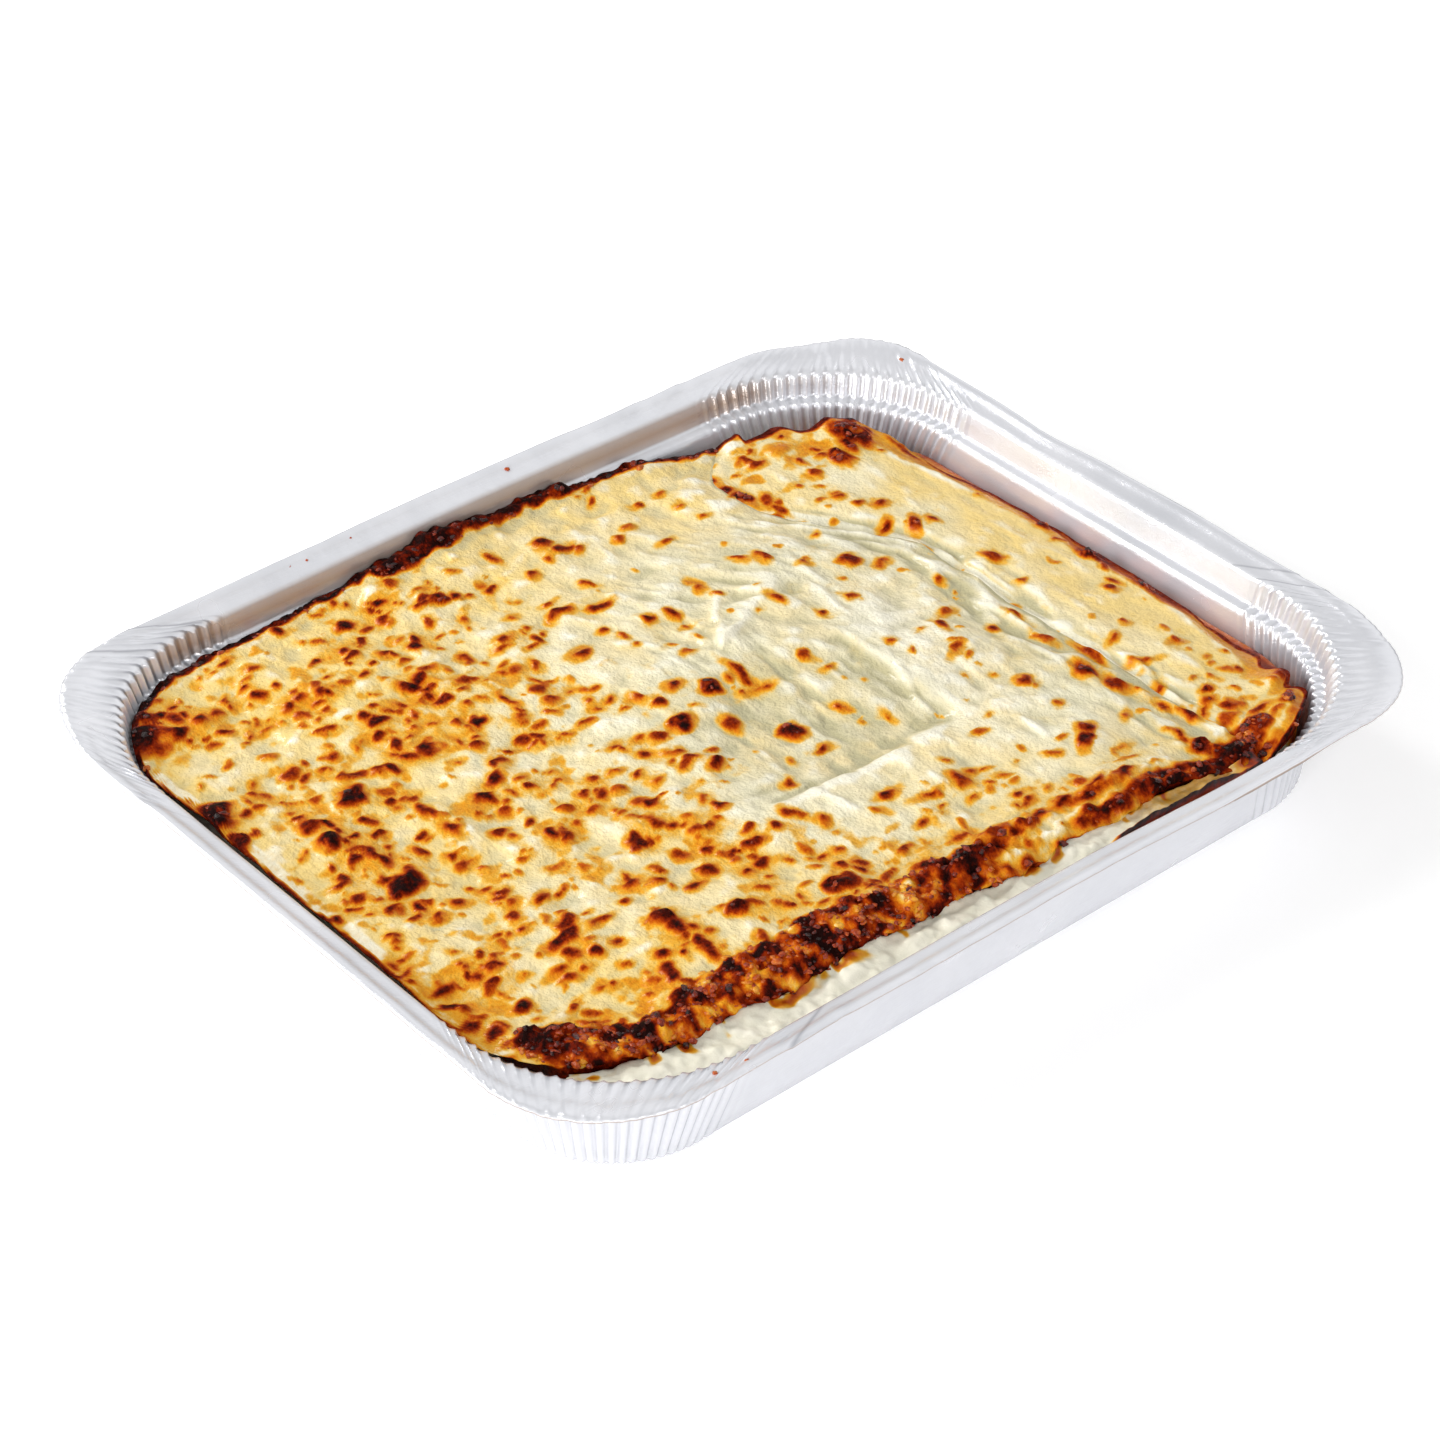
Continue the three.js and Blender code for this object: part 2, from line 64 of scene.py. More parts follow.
# Each level of the skin, from the middle of the underside out to the hem and back in over the
# food side: inset from the rim, corner radius, height, and its share of flutes, bow and bend.
TRAY_LEVELS = [
    (60, 12, 0.0, 0, 0, 0),
    (24.6, 30.5, 0.0, 0, 0, 0),
    (22.6, 32.0, 0.35, 0.3, 0, 0),
    (20.1, 34.0, 1.7, 0.5, 0.05, 0),
    (18.9, 35.0, 3.4, 0.65, 0.1, 0),
    (17.5, 38.2, 10.0, 0.65, 0.3, 0),
    (15.9, 42.0, 18.0, 0.65, 0.55, 0),
    (14.3, 45.6, 25.5, 0.65, 0.8, 0),
    (13.7, 46.9, 28.1, 0.7, 0.85, 0),
    (13.0, 47.6, 28.6, 0.8, 0.85, 0),
    (11.0, 49.6, 28.8, 0.8, 0.88, 0),
    (10.5, 50.1, 29.5, 0.8, 0.9, 0.05),
    (9.5, 51.0, 32.6, 0.8, 0.95, 0.2),
    (8.4, 52.0, 35.8, 0.8, 1, 0.4),
    (7.5, 51.4, 36.7, 0.6, 1, 0.45),
    (3.6, 45.4, 37.9, 0.15, 1, 0.8),
    (3.2, 44.6, 37.7, 0.1, 1, 0.85),
    (0.6, 40.8, 38.5, 0.1, 1, 1),
    (0.0, 40.0, 39.1, 0.1, 1, 1),
    (0.1, 40.0, 39.6, 0.1, 1, 1),
    (0.5, 40.5, 39.95, 0.1, 1, 1),
    (1.1, 41.2, 40.0, 0.1, 1, 1),
    (3.2, 44.4, 39.45, 0.08, 1, 0.85),
    (3.6, 45.0, 39.1, 0.08, 1, 0.8),
    (5.4, 47.6, 38.45, 0.12, 1, 0.65),
    (7.2, 50.4, 37.95, 0.35, 1, 0.5),
    (8.3, 51.6, 37.65, 0.8, 1, 0.42),
    (9.0, 52.0, 37.1, 1, 1, 0.38),
    (9.4, 52.0, 36.2, 1, 1, 0.3),
    (10.3, 51.1, 33.2, 1, 0.96, 0.15),
    (11.1, 50.3, 30.4, 1, 0.9, 0),
    (11.4, 50.0, 29.7, 1, 0.87, 0),
    (12.1, 49.4, 29.35, 1, 0.86, 0),
    (13.8, 47.6, 29.2, 1, 0.85, 0),
    (14.5, 46.8, 28.8, 1, 0.84, 0),
    (15.1, 45.6, 26.4, 1, 0.78, 0),
    (16.5, 42.0, 19.0, 1, 0.55, 0),
    (18.1, 38.4, 11.0, 1, 0.3, 0),
    (19.5, 35.3, 4.2, 1, 0.1, 0),
    (20.9, 34.3, 2.1, 0.8, 0.05, 0),
    (23.2, 31.7, 0.95, 0.3, 0, 0),
    (26.0, 29.5, 0.7, 0, 0, 0),
    (60, 12, 0.7, 0, 0, 0),
]
HEM_LEVELS = range(15, 19)
FIRST_INNER_LEVEL = 19
FLANGE_LEVELS = range(FIRST_INNER_LEVEL, 27)

# Slow bends of the soft foil: place on the rim, how far they spread, how far out they push.
WALL_BENDS = [(0, 131, 72, 1.9), (84, -131, 42, 2.6)]
FLANGE_BENDS = [
    (161, 33, 16, -1.8), (161, -22, 22, 0.8), (-151, 101, 12, -2.4), (-159, 74, 12, 0.8),
    (138, 126, 15, -3.6), (156, 108, 14, 1.6), (155, -102, 12, -1.4), (136, -124, 14, 1.8),
]

# Tucks where the pressed flange folded over itself: place on the rim and how high the fold stands.
FLANGE_TUCKS = [
    (-133, 128, 0.9), (-118, 131, 0.7), (74, 133, 0.6), (91, 133, 1.0), (-160, 62, -0.8),
    (157, -70, 0.5), (160, -82, 0.4), (-92, -131, -0.5), (-76, -131, 0.4),
]
TUCK_LENGTH = 16
TUCK_SLOPE = 4.5
TUCK_LIP = 0.5
TUCK_SHADE_WIDTH = 0.6

# A thin painted brown reflection: on the hem, and by level on the back wall just over the food.
HEM_REFLECTION = 0.75
BACK_WALL_REFLECTION = {27: 0.2, 28: 0.55, 29: 0.75, 30: 0.5}


def ease(start, end, value):
    """0 on one side and 1 on the other, whichever way round the two limits are given."""
    share = np.clip((value - start) / (end - start), 0, 1)
    return share * share * (3 - 2 * share)


def mound(x, y, at_x, at_y, wide, deep=None, turn=0.0):
    """A round or long mound, 1 at its middle, turned by an angle in degrees."""
    deep = wide if deep is None else deep
    c, s = math.cos(math.radians(turn)), math.sin(math.radians(turn))
    dx = (x - at_x) * c + (y - at_y) * s
    dy = (y - at_y) * c - (x - at_x) * s
    return np.exp(-((dx / wide) ** 2) - (dy / deep) ** 2)


def lumps(x, y, size, seed):
    """Smooth random lumps of about the given size, between -1 and 1."""
    table = np.random.default_rng(seed).uniform(-1, 1, (64, 64))
    u, v = x / size + 0.37 * seed, y / size + 0.61 * seed
    col, row = np.floor(u).astype(int), np.floor(v).astype(int)
    fu, fv = u - col, v - row
    fu, fv = fu * fu * (3 - 2 * fu), fv * fv * (3 - 2 * fv)
    corner = lambda i, j: table[(row + j) % 64, (col + i) % 64]
    near = corner(0, 0) * (1 - fu) + corner(1, 0) * fu
    far = corner(0, 1) * (1 - fu) + corner(1, 1) * fu
    return near * (1 - fv) + far * fv


def relief(x, y, *layers):
    """Layers of random lumps over each other: for each its height, size and seed."""
    return sum(height * lumps(x, y, size, seed) for height, size, seed in layers)


def rim_walk():
    """Once round the tray in steps: for each the quarter, its share of the arc, the run past the
    arc, its share of the straight side, the flute's phase and the flute's strength."""
    walk = []
    arc_steps = FLUTES_PER_CORNER * STEPS_PER_FLUTE
    fade_steps = FADING_FLUTES * STEPS_PER_FLUTE
    phase_step = 2 * math.pi / STEPS_PER_FLUTE
    for quarter in range(4):
        for k in range(arc_steps):
            walk.append((quarter, k / arc_steps, 0, 0, k * phase_step, 1))
        for k in range(fade_steps):
            away = k / fade_steps
            walk.append((quarter, 1, away * FADE_RUN, 0, k * phase_step, 1 - ease(0, 1, away)))
        for k in range(PLAIN_STEPS):
            share = k / PLAIN_STEPS
            walk.append((quarter, 1, FADE_RUN * (1 - 2 * share), share, 0, 0))
        for k in range(fade_steps):
            away = 1 - k / fade_steps
            walk.append((quarter, 1, -away * FADE_RUN, 1, k * phase_step, 1 - ease(0, 1, away)))
    return np.array(walk, dtype=float)


RIM_WALK = rim_walk()


def pushed(bends, x, y):
    return sum(out * mound(x, y, at_x, at_y, spread) for at_x, at_y, spread, out in bends)


def tray_level(inset, corner, height, flute, bow, bend):
    """The points of one level of the skin, step by step along the rim walk."""
    quarter, arc, extra, share, phase, strength = RIM_WALK.T
    half_x, half_y = RIM_LENGTH / 2 - inset, RIM_WIDTH / 2 - inset
    sign_x = np.where((quarter == 0) | (quarter == 3), 1, -1)
    sign_y = np.where(quarter < 2, 1, -1)
    angle = (quarter + arc) * math.pi / 2
    out_x, out_y = np.cos(angle), np.sin(angle)
    run = 2 * np.where(quarter % 2 == 0, half_x - corner, half_y - corner)
    along = extra + share * run
    x = sign_x * (half_x - corner) + corner * out_x - along * out_y
    y = sign_y * (half_y - corner) + corner * out_y + along * out_x
    rim_x, rim_y = x + inset * out_x, y + inset * out_y
    # Flutes with round ridges and narrower grooves, then the bends and small dents of the foil.
    push = FLUTE_DEPTH * flute * strength * (np.cos(phase) - 0.22 * np.cos(2 * phase))
    push += bow * pushed(WALL_BENDS, rim_x, rim_y) + bend * pushed(FLANGE_BENDS, rim_x, rim_y)
    push += 0.1 * flute * (1 - bend) * lumps(rim_x * 1.3 + height, rim_y * 1.3 + height, 11, 3)
    # The flange waves a little, its corners pucker, and the flutes run out over its inner bend.
    ridge = strength * np.cos(phase)
    on_flange = ease(9.5, 2.5, inset)
    z = height + on_flange * relief(rim_x, rim_y, (0.28, 17, 5), (0.1, 6, 6))
    pucker = lumps(rim_x * 1.9, rim_y * 1.9, 3.1, 7) * (0.25 + 0.75 * strength)
    z += 0.2 * ease(9.5, 6.5, inset) * pucker
    z += 0.3 * ease(9.8, 8.6, inset) * ease(5.6, 7.8, inset) * ridge
    z += on_flange * (0.03 * ridge + 0.3 * strength * lumps(rim_x, rim_y, 8.5, 8))
    # Each tuck rises slowly and drops over a sharp lip.
    for at_x, at_y, stands in FLANGE_TUCKS:
        ahead = (rim_y - at_y) * out_x - (rim_x - at_x) * out_y
        tuck = np.exp(-np.abs(ahead) / np.where(ahead > 0, TUCK_SLOPE, TUCK_LIP))
        z += on_flange * stands * tuck * mound(rim_x, rim_y, at_x, at_y, TUCK_LENGTH)
    x = np.clip(x + push * out_x, TRAY_LOW.x + BOX_SLACK, TRAY_HIGH.x - BOX_SLACK)
    y = np.clip(y + push * out_y, TRAY_LOW.y + BOX_SLACK, TRAY_HIGH.y - BOX_SLACK)
    return np.stack([x, y, np.clip(z, 0, TRAY_HIGH.z - BOX_SLACK)], axis=1)


def make_piece(name, points, faces):
    """A smooth piece from its points in millimetres and the faces between them."""
    mesh = bpy.data.meshes.new(name)
    mesh.from_pydata((points * MM).tolist(), [], faces)
    mesh.shade_smooth()
    piece = bpy.data.objects.new(name, mesh)
    bpy.context.scene.collection.objects.link(piece)
    return piece


def closed_loft(name, rings):
    """A closed skin over rings of equal count, capped at its first and last ring."""
    count = len(rings[0])
    last = (len(rings) - 1) * count
    ring = np.arange(count)
    after = np.roll(ring, -1)
    faces = []
    for low in range(0, last, count):
        high = low + count
        faces += np.stack([low + ring, low + after, high + after, high + ring], 1).tolist()
    faces += [ring[::-1].tolist(), (last + ring).tolist()]
    return make_piece(name, np.concatenate(rings), faces)


def give_attribute(piece, name, values):
    layer = piece.data.attributes.new(name, "FLOAT", "POINT")
    layer.data.foreach_set("value", values.ravel().astype(np.float32))


def rgb(*screen):
    """A colour as seen on a screen, 0 to 255, as the linear values that a shader takes."""
    shares = [value / 255 for value in screen]
    linear = [c / 12.92 if c <= 0.04045 else ((c + 0.055) / 1.055) ** 2.4 for c in shares]
    return (*linear, 1.0)


def add_node(tree, kind, **settings):
    node = tree.nodes.new(kind)
    for setting, value in settings.items():
        setattr(node, setting, value)
    return node


def feed(tree, node, values):
    """Gives each of a node's sockets its link, or its plain value."""
    for socket, value in values.items():
        if isinstance(value, bpy.types.NodeSocket):
            tree.links.new(value, node.inputs[socket])
        else:
            node.inputs[socket].default_value = value


def new_material(name):
    material = bpy.data.materials.new(name)
    material.use_nodes = True
    tree = material.node_tree
    tree.nodes.clear()
    shader = add_node(tree, "ShaderNodeBsdfPrincipled")
    feed(tree, add_node(tree, "ShaderNodeOutputMaterial"), {"Surface": shader.outputs["BSDF"]})
    return material, tree, shader


def noise_at(tree, scale, detail, stretch=(1, 1, 1)):
    """A noise in real sizes: scale is how many lumps there are in a metre."""
    place = add_node(tree, "ShaderNodeTexCoord")
    mapping = add_node(tree, "ShaderNodeMapping")
    noise = add_node(tree, "ShaderNodeTexNoise")
    feed(tree, mapping, {"Vector": place.outputs["Object"], "Scale": stretch})
    feed(tree, noise, {"Vector": mapping.outputs["Vector"], "Scale": scale, "Detail": detail})
    return noise.outputs["Fac"]


def calc(tree, operation, *values):
    node = add_node(tree, "ShaderNodeMath", operation=operation)
    feed(tree, node, dict(enumerate(values)))
    return node.outputs[0]


def blend_colours(tree, share, first, second):
    node = add_node(tree, "ShaderNodeMix", data_type="RGBA")
    feed(tree, node, {0: share, 6: first, 7: second})
    return node.outputs[2]


def attribute(tree, name):
    return add_node(tree, "ShaderNodeAttribute", attribute_name=name).outputs["Fac"]


def bump_up(tree, shader, height, strength, distance):
    """Fine relief too small for the mesh, at most the given distance high."""
    bump = add_node(tree, "ShaderNodeBump")
    feed(tree, bump, {"Height": height, "Strength": strength, "Distance": distance})
    feed(tree, shader, {"Normal": bump.outputs["Normal"]})


def foil_material():
    """Bright rolled foil: faint rolling lines, fine crinkles, painted brown reflection, painted fold
    shade.
    """
    material, tree, shader = new_material("rolled_foil")
    crinkle = noise_at(tree, 90, 4)
    rolling = noise_at(tree, 60, 3, stretch=(2, 30, 30))
    haze = noise_at(tree, 35, 3)
    bright = blend_colours(tree, haze, rgb(214, 216, 222), rgb(240, 240, 244))
    # Painted shade in the folds and grooves.
    foil_shaded = blend_colours(tree, attribute(tree, "painted_foil_shade"), bright, rgb(112, 114, 122))
    # Over that, a painted brown reflection.
    brown_reflected = blend_colours(tree, attribute(tree, "painted_brown_reflection"), foil_shaded, rgb(150, 118, 88))
    rough = calc(tree, "MULTIPLY_ADD", haze, 0.16, 0.17)
    feed(tree, shader, {"Base Color": brown_reflected, "Metallic": 0.43, "Roughness": rough})
    bump_up(tree, shader, calc(tree, "MULTIPLY_ADD", rolling, 0.25, crinkle), 0.5, 0.0006)
    return material


tray = closed_loft("pressed_tray", [tray_level(*level) for level in TRAY_LEVELS])
wall_angle = (RIM_WALK[:, 0] + RIM_WALK[:, 1]) * math.pi / 2
wall_out_x, wall_out_y = np.cos(wall_angle), np.sin(wall_angle)
hem_x, hem_y, _ = tray_level(*TRAY_LEVELS[FIRST_INNER_LEVEL]).T

# The hem and the back wall just over the food get a painted brown reflection.
painted_brown_reflection = np.zeros((len(TRAY_LEVELS), len(RIM_WALK)))
painted_brown_reflection[HEM_LEVELS] = HEM_REFLECTION
for level, film in BACK_WALL_REFLECTION.items():
    painted_brown_reflection[level] = film * ease(0.9, 1.0, wall_out_y)
give_attribute(tray, "painted_brown_reflection", painted_brown_reflection)

# The grooves between the close-pressed pleats get painted shade, most on the food side and
# towards the left, and the whole outside of the foil is painted a little darker.
painted_foil_shade = np.zeros_like(painted_brown_reflection)
inner_groove_shade = 0.22 + 0.6 * ease(70, -90, hem_x)
for level, (_, _, _, flute, _, _) in enumerate(TRAY_LEVELS):
    inside = level >= FIRST_INNER_LEVEL
    groove = np.cos(RIM_WALK[:, 4]) * (1 if inside else -1)
    groove_shade = inner_groove_shade if inside else 0.08
    painted_foil_shade[level] = groove_shade * flute * RIM_WALK[:, 5] * ease(0.2, 1.0, groove)
    painted_foil_shade[level] += 0 if inside else 0.16
# Each tuck of the flange gets a thin line of painted shade where it closes.
for at_x, at_y, _ in FLANGE_TUCKS:
    ahead = (hem_y - at_y) * wall_out_x - (hem_x - at_x) * wall_out_y
    tuck_shade = np.exp(-((ahead / TUCK_SHADE_WIDTH) ** 2)) * mound(hem_x, hem_y, at_x, at_y, TUCK_LENGTH)
    for level in FLANGE_LEVELS:
        painted_foil_shade[level] = np.maximum(painted_foil_shade[level], 0.45 * tuck_shade)
give_attribute(tray, "painted_foil_shade", painted_foil_shade)
tray.data.materials.append(foil_material())
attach(tray, "root")
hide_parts("foil_tray")


# ---------------------------------------------------------------------------- bed of white sauce
# Set white sauce that fills the tray under the sheets. It shows as a pale lumpy strip between the
# burnt cut edge and the front wall, and deep down beside the right edge.

FOOD_LEFT = -147.8
FRONT_CORNER = 38
SEAM_X = 101
STRIP_LEFT = -135
STRIP_HEIGHT = 27.6
STRIP_FOOT = 18.65
STRIP_LAP = 1.5
STRIP_COLUMNS, STRIP_ROWS = 420, 30
# The inside of the wall at the strip's height.
STRIP_HALF_LENGTH = RIM_LENGTH / 2 - 16.2
STRIP_HALF_WIDTH = RIM_WIDTH / 2 - 15.8
STRIP_CORNER = 45
# A slab's cut edge is never thinner than this.
THINNEST_EDGE = 0.4
# The long and short walls are straight as far as this from the tray's middle.
STRAIGHT_TO_X, STRAIGHT_TO_Y = 100, 72


def front_edge(x):
    """The burnt cut edge of the top sheet, short of the front wall."""
    centre = FOOD_LEFT + FRONT_CORNER
    corner = np.sqrt(np.maximum(0, FRONT_CORNER**2 - np.minimum(0, x - centre) ** 2))
    ragged = 0.9 * np.sin(x / 6.1) + 0.7 * np.sin(x / 14.3 + 1)
    return -64.5 - corner - np.maximum(0, 0.046 * (x - centre)) - ragged * ease(-130, -110, x)


def grid_slab(name, plan_x, plan_y, heights, levels, lean):
    """A closed slab: an uneven top over a grid, and sides that draw in down to a flat underside.
    levels holds (height, inset); lean gives which way the sides draw in."""
    rows, columns = plan_x.shape
    index = np.arange(rows * columns).reshape(rows, columns)
    quads = np.stack([index[:-1, :-1], index[:-1, 1:], index[1:, 1:], index[1:, :-1]], axis=-1)
    border = np.concatenate([index[0, :-1], index[:-1, -1], index[-1, :0:-1], index[:0:-1, 0]])
    points = [np.stack([plan_x, plan_y, heights], axis=-1).reshape(-1, 3)]
    rim_x, rim_y, rim_z = points[0][border].T
    lean_x, lean_y = (way.ravel()[border] for way in lean(plan_x, plan_y))
    faces = [quads.reshape(-1, 4)]
    upper = border
    start = rows * columns
    for height, inset in levels:
        lower = start + np.arange(len(border))
        level = np.minimum(height, rim_z - THINNEST_EDGE)
        points.append(np.stack([rim_x + lean_x * inset, rim_y + lean_y * inset, level], 1))
        faces.append(np.stack([lower, np.roll(lower, -1), np.roll(upper, -1), upper], axis=1))
        upper = lower
        start += len(border)
    underside = [upper[::-1].tolist()]
    return make_piece(name, np.concatenate(points), np.concatenate(faces).tolist() + underside)


def inward(x, y):
    """The way from a point near the tray's wall straight in from that wall."""
    way_x = np.clip(x, -STRAIGHT_TO_X, STRAIGHT_TO_X) - x
    way_y = np.clip(y, -STRAIGHT_TO_Y, STRAIGHT_TO_Y) - y
    length = np.maximum(np.hypot(way_x, way_y), 1e-6)
    return way_x / length, way_y / length


def strip_grid(columns, rows):
    """The strip's plan, from the front wall back to just under the cut edge."""
    u, v = np.meshgrid(np.linspace(0, 1, columns), np.linspace(0, 1, rows))
    x = STRIP_LEFT + (SEAM_X - 2 - STRIP_LEFT) * u
    into = np.minimum(0, x + STRIP_HALF_LENGTH - STRIP_CORNER)
    wall = STRIP_CORNER - STRIP_HALF_WIDTH - np.sqrt(STRIP_CORNER**2 - into**2)
    y = wall + (front_edge(x) + STRIP_LAP - wall) * v
    return x, y, v


def strip_heights(x, y, v):
    z = STRIP_HEIGHT + 0.5 * np.sin(x / 11.7 + y / 4.1) + 0.8 * ease(-60, -120, x)
    z += relief(x, y, (0.9, 6.5, 21), (0.6, 3.1, 22), (0.22, 1.5, 23))
    z += 0.7 * ease(0.75, 1.0, v) - 0.5 * ease(0.12, 0.0, v)
    # Sauce that boiled up the wall on the right and burnt there.
    z += 2.6 * ease(36, 46, x) * ease(94, 84, x) * ease(0.3, 0.0, v)
    return z


def strip_lean(x, y):
    """The strip's front draws in with the wall, and its back stays upright under the sheet."""
    way_x, way_y = inward(x, y)
    room = np.clip((front_edge(x) - y - 2) / 7, 0.0, 1)
    return way_x * room, way_y * room


strip_x, strip_y, strip_v = strip_grid(STRIP_COLUMNS, STRIP_ROWS)
strip_z = strip_heights(strip_x, strip_y, strip_v)
strip_levels = [(STRIP_FOOT, 5.5)]
sauce_strip = grid_slab("front_sauce", strip_x, strip_y, strip_z, strip_levels, strip_lean)

# It burnt along the wall on the right and in drips under the cut edge, and browned at its end.
strip_burn = ease(38, 46, strip_x) * ease(90, 82, strip_x) * ease(0.16, 0.05, strip_v)
strip_burn += 0.5 * ease(0.12, 0.0, strip_v) * ease(20, 60, strip_x) + 0.22 * ease(25, 70, strip_x)
drip_x = strip_x + relief(strip_x, strip_y, (1.8, 4.3, 24), (0.9, 2.2, 27))
drip_y = strip_y + relief(strip_x, strip_y, (1.8, 4.3, 25), (0.9, 2.2, 28))
drips = ease(-0.1, 0.9, relief(drip_x, drip_y, (1, 5.6, 26), (0.5, 2.6, 29)))
strip_burn += 0.7 * drips * ease(0.4, 0.95, strip_v)
strip_burn += (0.55 + 0.25 * lumps(drip_x, drip_y, 3, 30)) * ease(90, 96, strip_x)

# The hidden bed follows the wall, inset from the rim and with a corner radius at its top.
CORE_POINTS = 720
CORE_INSET, CORE_CORNER = 18.0, 43
CORE_SIDE_TOP = 21.2
CORE_TOP = 21.5
CORE_TOP_RINGS = 24


def core_ring(inset, corner, height, shrink=1.0, rough=0.0):
    """One ring of the hidden bed; its top is rough, and low in the back right corner."""
    angle = (np.arange(CORE_POINTS) + 0.5) / CORE_POINTS * 2 * math.pi
    half_x, half_y = RIM_LENGTH / 2 - inset, RIM_WIDTH / 2 - inset
    x = (np.sign(np.cos(angle)) * (half_x - corner) + corner * np.cos(angle)) * shrink
    y = (np.sign(np.sin(angle)) * (half_y - corner) + corner * np.sin(angle)) * shrink
    z = height + rough * relief(x, y, (0.3, 7, 31), (0.2, 3, 32))
    z -= 7.0 * mound(x, y, 132, 105, 26) * ease(10, 20, height)
    return np.stack([x, y, z], axis=1)


core_rings = [core_ring(25, 30, 1.05), core_ring(21.5, 33.1, 4.2)]
core_rings.append(core_ring(CORE_INSET, CORE_CORNER, CORE_SIDE_TOP))
for step in range(CORE_TOP_RINGS):
    shrink = 0.996 - 0.0085 * step
    core_rings.append(core_ring(CORE_INSET, CORE_CORNER, CORE_TOP, shrink, rough=1.0))
sauce_core = closed_loft("sauce_under_sheets", core_rings)


def finish_attribute(piece, name, top_values, edge_value):
    """Stores a value from 0 to 1 for each point of the top, and one value for the rest."""
    values = np.full(len(piece.data.vertices), float(edge_value))
    values[: top_values.size] = np.clip(top_values.ravel(), 0, 1)
    give_attribute(piece, name, values)


def new_group(name, inputs, outputs):
    """A shared group of shader nodes, with the sockets that it takes in and puts out."""
    group = bpy.data.node_groups.new(name, "ShaderNodeTree")
    for label, kind in inputs.items():
        group.interface.new_socket(label, in_out="INPUT", socket_type="NodeSocket" + kind)
    for label, kind in outputs.items():
        group.interface.new_socket(label, in_out="OUTPUT", socket_type="NodeSocket" + kind)
    entry, leave = add_node(group, "NodeGroupInput"), add_node(group, "NodeGroupOutput")
    return group, entry.outputs, leave


def mottle_group():
    """Fine uneven mottling that baked sauce shows: one value, with a bump height."""
    outputs = {"Mottle": "Float", "Height": "Float"}
    group, given, leave = new_group("baked mottle", {"Size": "Float"}, outputs)
    place = add_node(group, "ShaderNodeTexCoord").outputs["Object"]
    mottle, pores = add_node(group, "ShaderNodeTexNoise"), add_node(group, "ShaderNodeTexNoise")
    for noise, finer, detail in ((mottle, 1.0, 4), (pores, 2.6, 5)):
        scale = calc(group, "DIVIDE", finer, given["Size"])
        feed(group, noise, {"Vector": place, "Scale": scale, "Detail": detail})
    height = calc(group, "MULTIPLY_ADD", pores.outputs["Fac"], 0.6, mottle.outputs["Fac"])
    feed(group, leave, {"Mottle": mottle.outputs["Fac"], "Height": height})
    return group


BAKED_MOTTLE = mottle_group()


def use_mottle(tree, size):
    node = add_node(tree, "ShaderNodeGroup", node_tree=BAKED_MOTTLE)
    feed(tree, node, {"Size": size})
    return node.outputs["Mottle"], node.outputs["Height"]


# The colours that sauce goes through as it bakes, from pale gold to char.
BAKE_COLOURS = [
    (0.0, rgb(234, 212, 152)),
    (0.12, rgb(230, 198, 112)),
    (0.22, rgb(226, 174, 62)),
    (0.33, rgb(220, 148, 28)),
    (0.44, rgb(204, 114, 10)),
    (0.55, rgb(184, 80, 2)),
    (0.66, rgb(152, 50, 0)),
    (0.78, rgb(112, 24, 0)),
    (0.9, rgb(64, 8, 0)),
    (1.0, rgb(26, 4, 2)),
]


def browning_group():
    """Covers pale sauce with the colours of baking, as far as its level says."""
    inputs = {"Level": "Float", "Pale": "Color"}
    group, given, leave = new_group("bake browning", inputs, {"Colour": "Color"})
    ramp = add_node(group, "ShaderNodeValToRGB")
    stops = ramp.color_ramp.elements
    stops.remove(stops[1])
    stops[0].position, stops[0].color = BAKE_COLOURS[0]
    for position, colour in BAKE_COLOURS[1:]:
        stops.new(position).color = colour
    feed(group, ramp, {"Fac": given["Level"]})
    cover = add_node(group, "ShaderNodeMapRange", interpolation_type="SMOOTHSTEP")
    feed(group, cover, {"Value": given["Level"], "From Min": 0.05, "From Max": 0.27})
    shares = cover.outputs["Result"], given["Pale"], ramp.outputs["Color"]
    feed(group, leave, {"Colour": blend_colours(group, *shares)})
    return group


BAKE_BROWNING = browning_group()


def browned(tree, level, pale):
    node = add_node(tree, "ShaderNodeGroup", node_tree=BAKE_BROWNING)
    feed(tree, node, {"Level": level, "Pale": pale})
    return node.outputs["Colour"]


def sauce_material():
    """Set white sauce: satin, faintly mottled, browned where it burnt."""
    material, tree, shader = new_material("white_sauce")
    mottle, height = use_mottle(tree, 0.007)
    fine, fine_height = use_mottle(tree, 0.0016)
    pale = blend_colours(tree, mottle, rgb(218, 214, 190), rgb(250, 245, 228))
    browning = attribute(tree, "browning")
    uneven = calc(tree, "MULTIPLY_ADD", fine, 0.5, -0.25)
    level = calc(tree, "MULTIPLY_ADD", uneven, browning, browning)
    rough = calc(tree, "MULTIPLY_ADD", fine, 0.25, 0.22)
    feed(tree, shader, {"Base Color": browned(tree, level, pale), "Roughness": rough})
    feed(tree, shader, {"Specular IOR Level": 0.4})
    bump_up(tree, shader, calc(tree, "MULTIPLY_ADD", fine_height, 0.25, height), 0.4, 0.001)
    return material


WHITE_SAUCE = sauce_material()
finish_attribute(sauce_strip, "browning", strip_burn, 0)
core_x, core_y, _ = np.concatenate(core_rings).T
core_burn = (0.6 + 0.3 * lumps(core_x, core_y, 4, 33)) * ease(112, 122, core_x)
finish_attribute(sauce_core, "browning", core_burn, 0)
for piece in (sauce_strip, sauce_core):
    piece.data.materials.append(WHITE_SAUCE)
    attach(piece, "root")
    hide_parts("sauce_bed")


